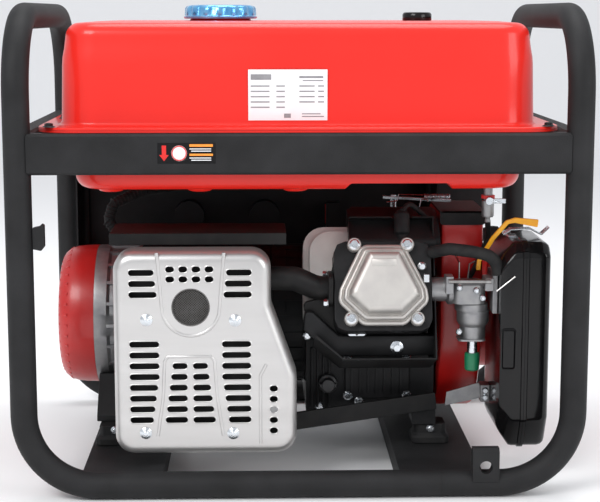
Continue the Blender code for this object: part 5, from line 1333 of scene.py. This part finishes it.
strands("clip_wire", [mm([(257, y, 304), (266, y, 311), (290, y, 311.5), (304, y, 304.5), (313, y, 312)])
    for y in (-133, -123)], 1.3 * MM, ZINC, "clip")
eased_solid("cover_clip", 0.3 * MM, 1)
ease_edges(finish_piece("latch_plate", block(mm((262, 272)), mm((-140, -116)), mm((301.5, 304))), ZINC),
    0.5 * MM)
stay = prism("Y", mm([(189, 80), (191, 98), (233, 110), (236, 90)]), mm((-112, -109.6)))
ease_edges(finish_piece("cleaner_stay", stay, ALLOY), 0.6 * MM)
ease_edges(finish_piece("stay_foot", block(mm((234, 245.6)), mm((-118, -96)), mm((86, 108))), ALLOY),
    0.8 * MM)
bolts("stay_bolts", mm([(240, -118, 101), (240, -118, 92)]), (0, -1, 0), 3 * MM, 3 * MM, 4.4 * MM)
print("air cleaner closed")

# %% Fuel tap
TAP_AXIS = mm((234, -150))
tap_barrel = turned("Z", TAP_AXIS, mm([(6.6, 329), (7.6, 331), (7.6, 349), (5.6, 350), (5.6, 365.5)]), 32)
tap_spout = turned("Z", TAP_AXIS, mm([(3, 322.2), (4, 323), (3, 327), (4, 329.5)]), 24)
finish_piece("tap_body", joined(tap_barrel, tap_spout), ALLOY, stands_for=("fuel_valve",))
finish_piece("tap_washer", turned("Z", TAP_AXIS, mm([(8.4, 352), (8.4, 356)]), 32), RED_PLASTIC)
eased_solid("fuel_valve_lever", 0.6 * MM, 1)
print("fuel tap at", [round(c, 3) for c in TAP_AXIS])

# %% [markdown]
# ## Blower and hand starter
#
# The red scroll is pressed from sheet, so its rim is rounded.  The starter cover is a dome
# with a ring of cooling slots; the ring tree repeats one dark slot bar round the axis.

# %% Blower scroll and starter cover
CRANK_Y, CRANK_Z = CRANK = 20 * MM, 178 * MM
HUB = (0.0, CRANK_Y, CRANK_Z)
SCROLL_R = 125.6 * MM


def scroll_outline():
    """The scroll's round, opened out to a corner at the top."""
    points = []
    for k in range(49):
        angle = math.radians(188 + 260 * k / 48)
        points.append((CRANK_Y + SCROLL_R * math.cos(angle), CRANK_Z + SCROLL_R * math.sin(angle)))
    return points + [(CRANK_Y + 10 * MM, 327.6 * MM), mm((-96, 327.6)), mm((-104.4, 318))]


def scroll_rings():
    centre = Vector(CRANK)
    rings = []
    for inset, x in ((6, 182.2), (1.8, 183.8), (0, 188), (0, 230), (1.8, 234.2), (6, 235.8)):
        ring_points = []
        for y, z in scroll_outline():
            point = Vector((y, z))
            point -= (point - centre).normalized() * inset * MM
            ring_points.append((point.x, point.y))
        rings.append(along("X", ring_points, x * MM))
    return rings


finish_piece("blower_scroll", loft(scroll_rings()), HOUSING_RED, stands_for=("blower_housing",))
dome = turned("X", CRANK, mm([(73.8, 236.4), (73.8, 270), (72, 279), (67, 286), (60, 289.4), (20, 289.8),
    (17, 287)]), 96)
finish_piece("starter_dome", dome, HOUSING_RED, stands_for=("recoil_cover", "recoil_pulley"))
slot_bar = prism("X", round_outline(rectangle(mm((-3, 3)), mm((30, 56))), 2.9 * MM), mm((289.2, 290.3)))
ring("starter_slots", slot_bar, 16, HUB, SATIN_BLACK)
grip = turned("X", mm((138.1, 265.7)), mm([(8, 215), (11.6, 218), (12.3, 226), (9.4, 240), (9, 255),
    (9.4, 270), (12.3, 284), (11.6, 292), (8, 295)]), 40)
finish_piece("pull_grip", grip, SATIN_BLACK, "grip", ("starter_handle",))
print("blower scroll of", len(scroll_outline()), "points")

# %% [markdown]
# ## Alternator
#
# A red moulded cover closes the left end: a shallow dish with a rim of vent bars.  Behind it
# come the cast end bell, the laminated stator with its long fins, and the adapter.


# %% Alternator end cover and vents
def alternator_round(levels, sides=96):
    """A turned piece whose flats follow the housing: (radius, level) pairs in millimetres."""
    return turned("X", CRANK, [(r * MM, x * MM) for r, x in levels], sides)


def squared(bm, limit):
    """Presses a round body's sides to flats at a distance from the axis."""
    for vert in bm.verts:
        vert.co.y = CRANK_Y + max(-limit, min(limit, vert.co.y - CRANK_Y))
        vert.co.z = CRANK_Z + max(-limit, min(limit, vert.co.z - CRANK_Z))
    return bm


FLAT = 90.7 * MM
end_cover = alternator_round([(60, -311), (74, -309.6), (82, -306), (87.6, -299), (90.4, -290),
    (91.6, -278), (92, -262.4)])
finish_piece("alternator_dish", squared(end_cover, FLAT), HOUSING_RED, stands_for=("alternator_end_cover",))
vent = prism("X", round_outline(rectangle(mm((-3.2, 3.2)), mm((26, 60))), 3 * MM), mm((-311.4, -310.4)))
ring("end_vents", vent, 18, HUB, SATIN_BLACK)
tooth = loft([along("X", round_outline(rectangle(mm((-2.2, 2.2)), (reach - 6 * MM, reach + 1.3 * MM)),
    1.6 * MM, 0, 3), x * MM) for reach, x in ((77 * MM, -308.4), (86 * MM, -300), (88 * MM, -297))])
ring("cover_rim_teeth", tooth, 40, HUB, HOUSING_RED)
print("cover with 18 vents and 40 teeth")

# %% Bell, stator and adapter
bell = alternator_round([(91.6, -262.2), (92, -260), (92, -246), (88.6, -242), (88.6, -212), (92, -208),
    (92, -204.6)])
finish_piece("bell_casting", squared(bell, FLAT), ALLOY, stands_for=("alternator_end_bell",))
bell_rib = block(mm((-246, -208)), mm((-2, 2)), mm((86, 91.6)))
ring("bell_ribs", bell_rib, 20, HUB, ALLOY)
stator = alternator_round([(90.8, -203.8), (91.4, -203), (91.4, -33), (90.8, -32.2)])
finish_piece("stator_stack", squared(stator, FLAT), CASTING, stands_for=("stator_core",))
lamination = alternator_round([(92.2, -199.6), (92.2, -198.2)])
row("stator_laminations", squared(lamination, 91.2 * MM), 34, (5 * MM, 0, 0), CASTING)
adapter = alternator_round([(92, -31.6), (92, -14), (86, -8), (86, 6), (92, 8), (92, 11.6)])
finish_piece("adapter_casting", squared(adapter, FLAT), CASTING, stands_for=("engine_adapter",))
adapter_fin = block(mm((-28, 10)), mm((-1.6, 1.6)), mm((84, 92.6)))
ring("adapter_fins", adapter_fin, 26, HUB, CASTING)
long_bolts = [(-0.2622, CRANK_Y + 84 * MM * math.cos(a), CRANK_Z + 84 * MM * math.sin(a))
    for a in (math.radians(45 + 90 * k) for k in range(4))]
bolts("stator_bolts", long_bolts, (-1, 0, 0), 4 * MM, 4 * MM, 6 * MM)
print(len(long_bolts), "through bolts")

# %% Wiring loom
LOOM_TOP = mm((-158, 116, 340))
loom_route = [mm((-236, 20, 271.6)), mm((-237, 21, 286)), mm((-250, 24, 302)), mm((-243, 27, 325)),
    mm((-206, 46, 340)), LOOM_TOP, (-0.150, 0.189, 0.340)]
tube("loom_sleeve", loom_route, 16 * MM, 7 * MM, RUBBER, stands_for=("wiring_loom",), sides=20)


def spaced(points, gap):
    """Places a fixed distance apart on a route, each with the way it runs there."""
    found, left = [], gap
    for a, b in zip(points, points[1:]):
        a, b = Vector(a), Vector(b)
        length = (b - a).length
        while left <= length:
            found.append((a.lerp(b, left / length), (b - a).normalized()))
            left += gap
        left -= length
    return found


def loop_round(centre, way, radius, sides=14):
    """A ring of points across a way."""
    side = way.orthogonal().normalized()
    other = way.cross(side)
    angles = [math.tau * i / sides for i in range(sides)]
    return [tuple(centre + (side * math.cos(a) + other * math.sin(a)) * radius) for a in angles]


WRAPS = [loop_round(place, way, 7 * MM) for place, way in spaced(loom_route, 5 * MM)]
strands("loom_wraps", WRAPS, 1.1 * MM, RUBBER, closed=True, sides=6)
print(len(WRAPS), "wraps on the loom")

# %% [markdown]
# ## Control panel
#
# The panel faces away from the exhaust.  Its box is a deep moulding with a raised border;
# two hinged lids close the outlets, and beside them sit the run switch, the breaker, a round
# meter and two terminals.  Lids ride on their own bodies, sockets stay.

# %% Panel box
PANEL_LOW, PANEL_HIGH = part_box("panel_box")
PANEL_FACE = PANEL_HIGH[1]
LID_LEVEL = 285 * MM
PANEL_RIGHT = 208 * MM
BREAKER = (120 * MM, LID_LEVEL)
panel_corners = rectangle((PANEL_LOW[0], PANEL_RIGHT), (PANEL_LOW[2], PANEL_HIGH[2]))


def panel_ring(inset, y):
    return along("Y", round_outline(panel_corners, 14 * MM, inset * MM), y)


box_rings = [panel_ring(0, PANEL_LOW[1]), panel_ring(0, PANEL_FACE - 10 * MM)]
box_rings += [panel_ring(inset, PANEL_FACE - drop * MM) for inset, drop in reversed(quarter(9, 6))]
box_rings += [panel_ring(11, PANEL_FACE), panel_ring(12.5, PANEL_FACE - 1.2 * MM)]
box_rings += [panel_ring(13, PANEL_FACE - 1.4 * MM)]
shell = loft(box_rings, closed_ends=False)
shell.verts.ensure_lookup_table()
shell.faces.new(shell.verts[-len(box_rings[0]):])
panel_sheet = plain_mesh(shell, ("SOLIDIFY", {"thickness": 2 * MM, "offset": -1.0}))
for x, reach in mm(((-150, 22.4), (-40, 22.4), (120, 6))):
    less(panel_sheet, plain_mesh(turned("Y", (x, LID_LEVEL),
        [(reach, PANEL_FACE - 9 * MM), (reach, PANEL_FACE + 5 * MM)], 48)))
less(panel_sheet, plain_mesh(block(mm((48.6, 71.4)), (PANEL_FACE - 9 * MM, PANEL_FACE + 5 * MM),
    mm((269, 301)))))
take_piece("panel_moulding", panel_sheet, SATIN_BLACK, ("panel_box",))
# The wing is a flat dark plate behind the panel, right of the box, that fills the dark band under the tank:
# painted shade.
wing = prism("Y", round_outline(rectangle((PANEL_RIGHT - 1 * MM, PANEL_HIGH[0]), mm((296, 352))), 4 * MM),
    (PANEL_LOW[1], PANEL_LOW[1] + 4 * MM))
ease_edges(finish_piece("panel_wing", wing, SATIN_BLACK), 0.6 * MM)
print("panel face at", round(PANEL_FACE, 4))


# %% Lids, sockets and bezels
def socket_bm(x):
    """A round outlet: a deep cup with an insert and two pin holes."""
    wall = up_from(PANEL_FACE, [(22, -26), (22.2, -1), (20, -0.4), (19.4, -2), (19.2, -15)])
    cup = turned("Y", (x, LID_LEVEL), wall, 56)
    for dx in mm((-9.5, 9.5)):
        cup = joined(cup, turned("Y", (x + dx, LID_LEVEL),
            up_from(PANEL_FACE, [(3.4, -15.4), (3.4, -14.4), (2.4, -14.2)]), 24))
    return cup


def lid_bm(x):
    outline = rectangle((x - 28 * MM, x + 28 * MM), (LID_LEVEL - 28 * MM, LID_LEVEL + 28 * MM))
    levels = [(1, 0.3), (0, 1.0), (0, 3.4), (1.2, 4.8), (4, 5.2), (9, 5.2), (10.5, 4.4), (14, 4.4)]
    return loft([along("Y", round_outline(outline, 7 * MM, inset * MM, 6), PANEL_FACE + out * MM)
        for inset, out in levels])


for side, x in (("left", -150 * MM), ("right", -40 * MM)):
    finish_piece("outlet_" + side, socket_bm(x), SATIN_BLACK)
    finish_piece("lid_cover_" + side, lid_bm(x), SATIN_BLACK, "lid_" + side, ("outlet_lid_" + side,))
    pin = turned("X", (PANEL_FACE + 2.8 * MM, LID_LEVEL + 28.6 * MM), up_from(x, [(1.9, -16), (1.9, 16)]),
        20)
    finish_piece("lid_pin_" + side, pin, ZINC)
rocker = [(PANEL_FACE - 5 * MM, 270.4 * MM), (PANEL_FACE + 4.6 * MM, 270.4 * MM),
    (PANEL_FACE + 2.6 * MM, 285 * MM), (PANEL_FACE + 6.8 * MM, 299.6 * MM),
    (PANEL_FACE - 5 * MM, 299.6 * MM)]
ease_edges(finish_piece("run_rocker", loft([along("X", rocker, x * MM) for x in (49.2, 70.8)]),
    RED_PLASTIC, "switch", ("engine_switch",)), 0.9 * MM)
finish_piece("switch_body", block(mm((50, 70)), (PANEL_FACE - 30 * MM, PANEL_FACE - 7.6 * MM),
    mm((266, 304))), SATIN_BLACK)
bezel = [along("Y", round_outline(rectangle(mm((44, 76)), mm((264, 306))), 4 * MM, inset * MM),
    PANEL_FACE - 1.4 * MM + out * MM) for inset, out in ((0, 0), (0, 2.2), (1, 3), (4.2, 3), (4.4, 0.2))]
finish_piece("switch_bezel", loft(bezel), GLOSS)
finish_piece("breaker_cap", turned("Y", BREAKER,
    up_from(PANEL_FACE, [(5.6, -6), (5.6, 5.6), (4.6, 6.9)]), 36), SATIN_BLACK, "breaker",
    ("breaker_button",))
nut_ring = turned("Y", BREAKER, up_from(PANEL_FACE,
    [(11, -1.4), (11, 1.6), (10, 2.4), (6.4, 2.4), (6.2, -1.3)]), 6)
finish_piece("breaker_nut", nut_ring, ZINC)
print("two lids, a switch and a breaker")

# %% [markdown]
# ### Meter and terminals
#
# The meter is a flat white dial under a black rim.  Its scale is a fan of short strokes,
# placed by their angle, with a thin needle.  The terminals are two coloured nuts on studs.

# %% Meter and terminals
METER = mm((-235, 300))
FACE = PANEL_FACE - 1.4 * MM
finish_piece("meter_rim", turned("Y", METER, up_from(FACE,
    [(30, 0), (30, 5), (28, 6.4), (25.6, 6.4), (25.2, 3)]), 72), GLOSS)
finish_piece("meter_dial", turned("Y", METER, up_from(FACE, [(25, 2.4), (25, 3.4)]), 72), WHITE)


def stroke(angle, inner, outer):
    """A line on the dial, between two radii."""
    level = FACE + 3.5 * MM
    x, z = METER
    return [(x - r * math.cos(angle), level, z - 8 * MM + r * math.sin(angle)) for r in (inner, outer)]


SCALE = [stroke(math.radians(30 + 12 * i), 21 * MM, (26 if i % 5 == 0 else 24) * MM) for i in range(11)]
strands("meter_scale", SCALE, 0.35 * MM, GREY_INK)
strands("meter_needle", [stroke(math.radians(62), 2 * MM, 22 * MM)], 0.5 * MM, RED_PLASTIC)
for name, x, paint in (("terminal_plus", 156, RED_PLASTIC), ("terminal_minus", 182, SATIN_BLACK)):
    knob = turned("Y", (x * MM, 276 * MM), up_from(FACE, [(6, 0), (6, 3), (7.4, 3.6), (7.4, 12),
        (5.6, 13.4)]), 12)
    finish_piece(name, knob, paint)
ground = [(184 * MM, PANEL_FACE - 1 * MM, 240 * MM)]
bolts("ground_screw", ground, (0, 1, 0), 5 * MM, 6 * MM, 9 * MM)
corner_screws = [(x * MM, PANEL_FACE - 0.6 * MM, z * MM) for x in (-290, 0, 191) for z in (232, 346)]
bolts("panel_screws", corner_screws, (0, 1, 0), 3.4 * MM, 2.4 * MM, 5.4 * MM)
legend = joined(*[block((x * MM, (x + w) * MM), (FACE, FACE + 0.3 * MM), (z * MM, (z + 1.6) * MM))
    for x, w, z in ((-168, 36, 326), (-58, 36, 326), (46, 28, 314), (106, 28, 304), (152, 34, 296),
    (-168, 24, 248), (-58, 24, 248))])
finish_piece("legend_bars", legend, WHITE)
strip = loft([along("Y", round_outline(rectangle(mm((20, 180)), mm((330, 352))), 4 * MM, inset),
    FACE + out) for inset, out in mm(((0, 0), (0, 0.6), (0.4, 0.8)))])
finish_piece("panel_strip", strip, RED_PLASTIC)
print(len(SCALE), "strokes on the dial")

# %% [markdown]
# ## Small things and labels
#
# The black filler plug has a winged head.  The foil plate on the tank and the strip on the
# front rail carry plain bars where a maker prints its data, so they say nothing.

# %% Filler plug
DIP_X, DIP_Z = 40 * MM, 104 * MM
dip = joined(turned("Y", (DIP_X, DIP_Z), mm([(8, -102), (8.4, -101), (8.4, -91), (12, -89.6), (12.5, -88),
    (12.5, -81)]), 24), block((DIP_X - 11 * MM, DIP_X + 11 * MM), mm((-100, -88)),
    (DIP_Z - 2.2 * MM, DIP_Z + 2.2 * MM)))
for vert in dip.verts:
    vert.co.y = max(vert.co.y, -102.2 * MM)
bmesh.ops.recalc_face_normals(dip, faces=dip.faces)
DIP_PAINT = uneven("black filler plug", (0.010, 0.010, 0.011), (0.016, 0.016, 0.017), (0.35, 0.5), 0.01,
    0.002, 0.00002)
ease_edges(finish_piece("filler_plug", dip, DIP_PAINT, "dipstick", ("oil_dipstick",)), 0.8 * MM)
bolts("drain_bolt", mm([(82, -80.2, 64)]), (0, -1, 0), 5 * MM, 5 * MM, 8 * MM)
print("filler plug on")

# %% Tab on the left post
tab = prism("Y", round_outline(mm([(-313, 304), (-303, 302), (-299, 307), (-299, 332), (-302, 334),
    (-304, 331), (-313, 329)]), 1.6 * MM, 0, 3), mm((-239, -229)))
ease_edges(finish_piece("post_tab", tab, POWDER), 0.8 * MM)
print("tab welded on")

# %% Data plate and warning strip
WALL_LEAN, LEAN_FROM = 7 * MM / 122, 445 * MM


def plate_on_tank(x0, x1, z0, z1, out):
    """A thin plate, all but upright, just off the tank's front wall."""
    corners = []
    for x, z in rectangle((x0, x1), (z0, z1)):
        y = -TANK_Y + (z - LEAN_FROM) * WALL_LEAN - out
        corners.append((x, y, z))
    back = [(x, y + out + 0.2 * MM, z) for x, y, z in corners]
    bm = loft([corners, back])
    bmesh.ops.recalc_face_normals(bm, faces=bm.faces)
    return bm


finish_piece("data_plate", plate_on_tank(-60 * MM, 33 * MM, 452.5 * MM, 512 * MM, 0.5 * MM), WHITE)
bars = [(-57, 24, 500, 6.5), (0, 28, 502, 2.4), (4, 24, 498.5, 1.2)]
for x, width, count in ((-57, 22, 5), (-27, 10, 5), (0, 18, 4), (22, 7, 4)):
    bars += [(x, width, 492 - 6.2 * i, 1.5) for i in range(count)]
bars += [(-18, 8, 455.5, 5.0), (3, 26, 456.5, 1.2), (3, 22, 459.6, 1.2)]
finish_piece("data_bars", joined(*[plate_on_tank(x * MM, (x + w) * MM, z * MM, (z + h) * MM, 0.75 * MM)
    for x, w, z, h in bars]), GREY_INK)


def on_rail(x0, x1, z0, z1, out):
    return block((x0 * MM, x1 * MM), (-246.2 * MM - out * MM, -245.9 * MM), (z0 * MM, z1 * MM))


finish_piece("rail_strip", on_rail(-165, -98, 405, 429, 0.15), GLOSS)
finish_piece("rail_bars", joined(on_rail(-128, -101, 424.5, 427.5, 0.4),
    on_rail(-128, -101, 414, 416.5, 0.4)), ORANGE)
finish_piece("rail_lines", joined(*[on_rail(-128 + 2 * (i % 2), -103, z, z + 1, 0.4)
    for i, z in enumerate((421.5, 419, 411, 408.5))]), WHITE)
arrow_outline = mm([(-160, 426), (-155, 426), (-155, 415), (-152, 415), (-157.5, 408), (-163, 415),
    (-160, 415)])
arrow = prism("Y", arrow_outline, mm((-246.6, -246.3)))
bmesh.ops.recalc_face_normals(arrow, faces=arrow.faces)
finish_piece("rail_arrow", arrow, RED_PLASTIC)
disc = turned("Y", mm((-140, 417)), mm([(9, -246.7), (9, -246.3)]), 40)
finish_piece("rail_disc", disc, WHITE)
disc_ring = [loop_round(Vector(mm((-140, -246.8, 417))), Vector((0, 1, 0)), 8.2 * MM, 36)]
strands("rail_disc_ring", disc_ring, 0.7 * MM, RED_PLASTIC, closed=True)
print(len(bars), "bars on the plate")

# %% [markdown]
# ## Floor, light and camera
#
# A pale sheet rises behind the object in one sweep, so no edge shows.  Three soft lamps and a
# pale surround give the broad highlights that show a gloss tank and a satin sheet apart.  The
# camera stands in front of the exhaust side and looks slightly down.

# %% Floor
FLOOR_Z = -0.6 * MM


def paper(name, colour):
    made = bpy.data.materials.new(name)
    made.use_nodes = True
    shader = made.node_tree.nodes["Principled BSDF"]
    shader.inputs["Base Color"].default_value = (*colour, 1)
    shader.inputs["Roughness"].default_value = 0.85
    shader.inputs["Specular IOR Level"].default_value = 0.2
    return made


def sweep(front, back, half, radius, top, steps=16):
    """Profile of the paper, from the front edge over the bend to the top."""
    profile = [(front, FLOOR_Z), (back - radius, FLOOR_Z)]
    for i in range(1, steps + 1):
        angle = math.radians(90 * i / steps)
        profile.append((back - radius + radius * math.sin(angle), FLOOR_Z + radius * (1 - math.cos(angle))))
    profile.append((back, top))
    points = [(x, y, z) for y, z in profile for x in (-half, half)]
    faces = [(2 * i, 2 * i + 1, 2 * i + 3, 2 * i + 2) for i in range(len(profile) - 1)]
    return points, faces


points, faces = sweep(-6.0, 5.0, 9.0, 1.5, 6.0)
floor_mesh = bpy.data.meshes.new("floor")
floor_mesh.from_pydata(points, [], faces)
floor_mesh.materials.append(paper("paper", (0.90, 0.90, 0.90)))
floor_mesh.shade_smooth()
floor = bpy.data.objects.new("floor", floor_mesh)
bpy.context.scene.collection.objects.link(floor)
print("paper sweep of", len(faces), "strips")


# %% Lamps and surround
def lamp(name, place, aim, size, power, colour=(1, 1, 1)):
    data = bpy.data.lights.new(name, "AREA")
    data.shape = "RECTANGLE"
    data.size, data.size_y = size
    data.energy = power
    data.color = colour
    made = bpy.data.objects.new(name, data)
    made.location = place
    made.rotation_euler = (Vector(aim) - Vector(place)).to_track_quat("-Z", "Y").to_euler()
    bpy.context.scene.collection.objects.link(made)
    return made


lamp("key", (-1.6, -2.2, 2.4), (0, 0, 0.3), (1.6, 1.2), 60)
lamp("fill", (2.2, -2.0, 1.3), (0, 0, 0.3), (1.4, 1.4), 26)
lamp("top", (0.2, 0.3, 2.6), (0, 0, 0.3), (2.0, 1.4), 36)
world = bpy.data.worlds.new("surround")
world.use_nodes = True
world.node_tree.nodes["Background"].inputs["Color"].default_value = (0.93, 0.95, 1.0, 1)
world.node_tree.nodes["Background"].inputs["Strength"].default_value = 0.72
bpy.context.scene.world = world
print("three lamps and a pale surround")

# %% Camera
camera_data = bpy.data.cameras.new("camera")
camera_data.lens = 91.97
camera_data.sensor_width = 36
camera = bpy.data.objects.new("camera", camera_data)
camera.location = (-0.0470, -2.0187, 0.5759)
camera.rotation_euler = (math.radians(90 - 8.779), 0.0, math.radians(-1.515))
bpy.context.scene.collection.objects.link(camera)
bpy.context.scene.camera = camera
bpy.context.scene.view_settings.view_transform = "Standard"
print("camera", round((Vector(camera.location)).length, 3), "m from the origin")
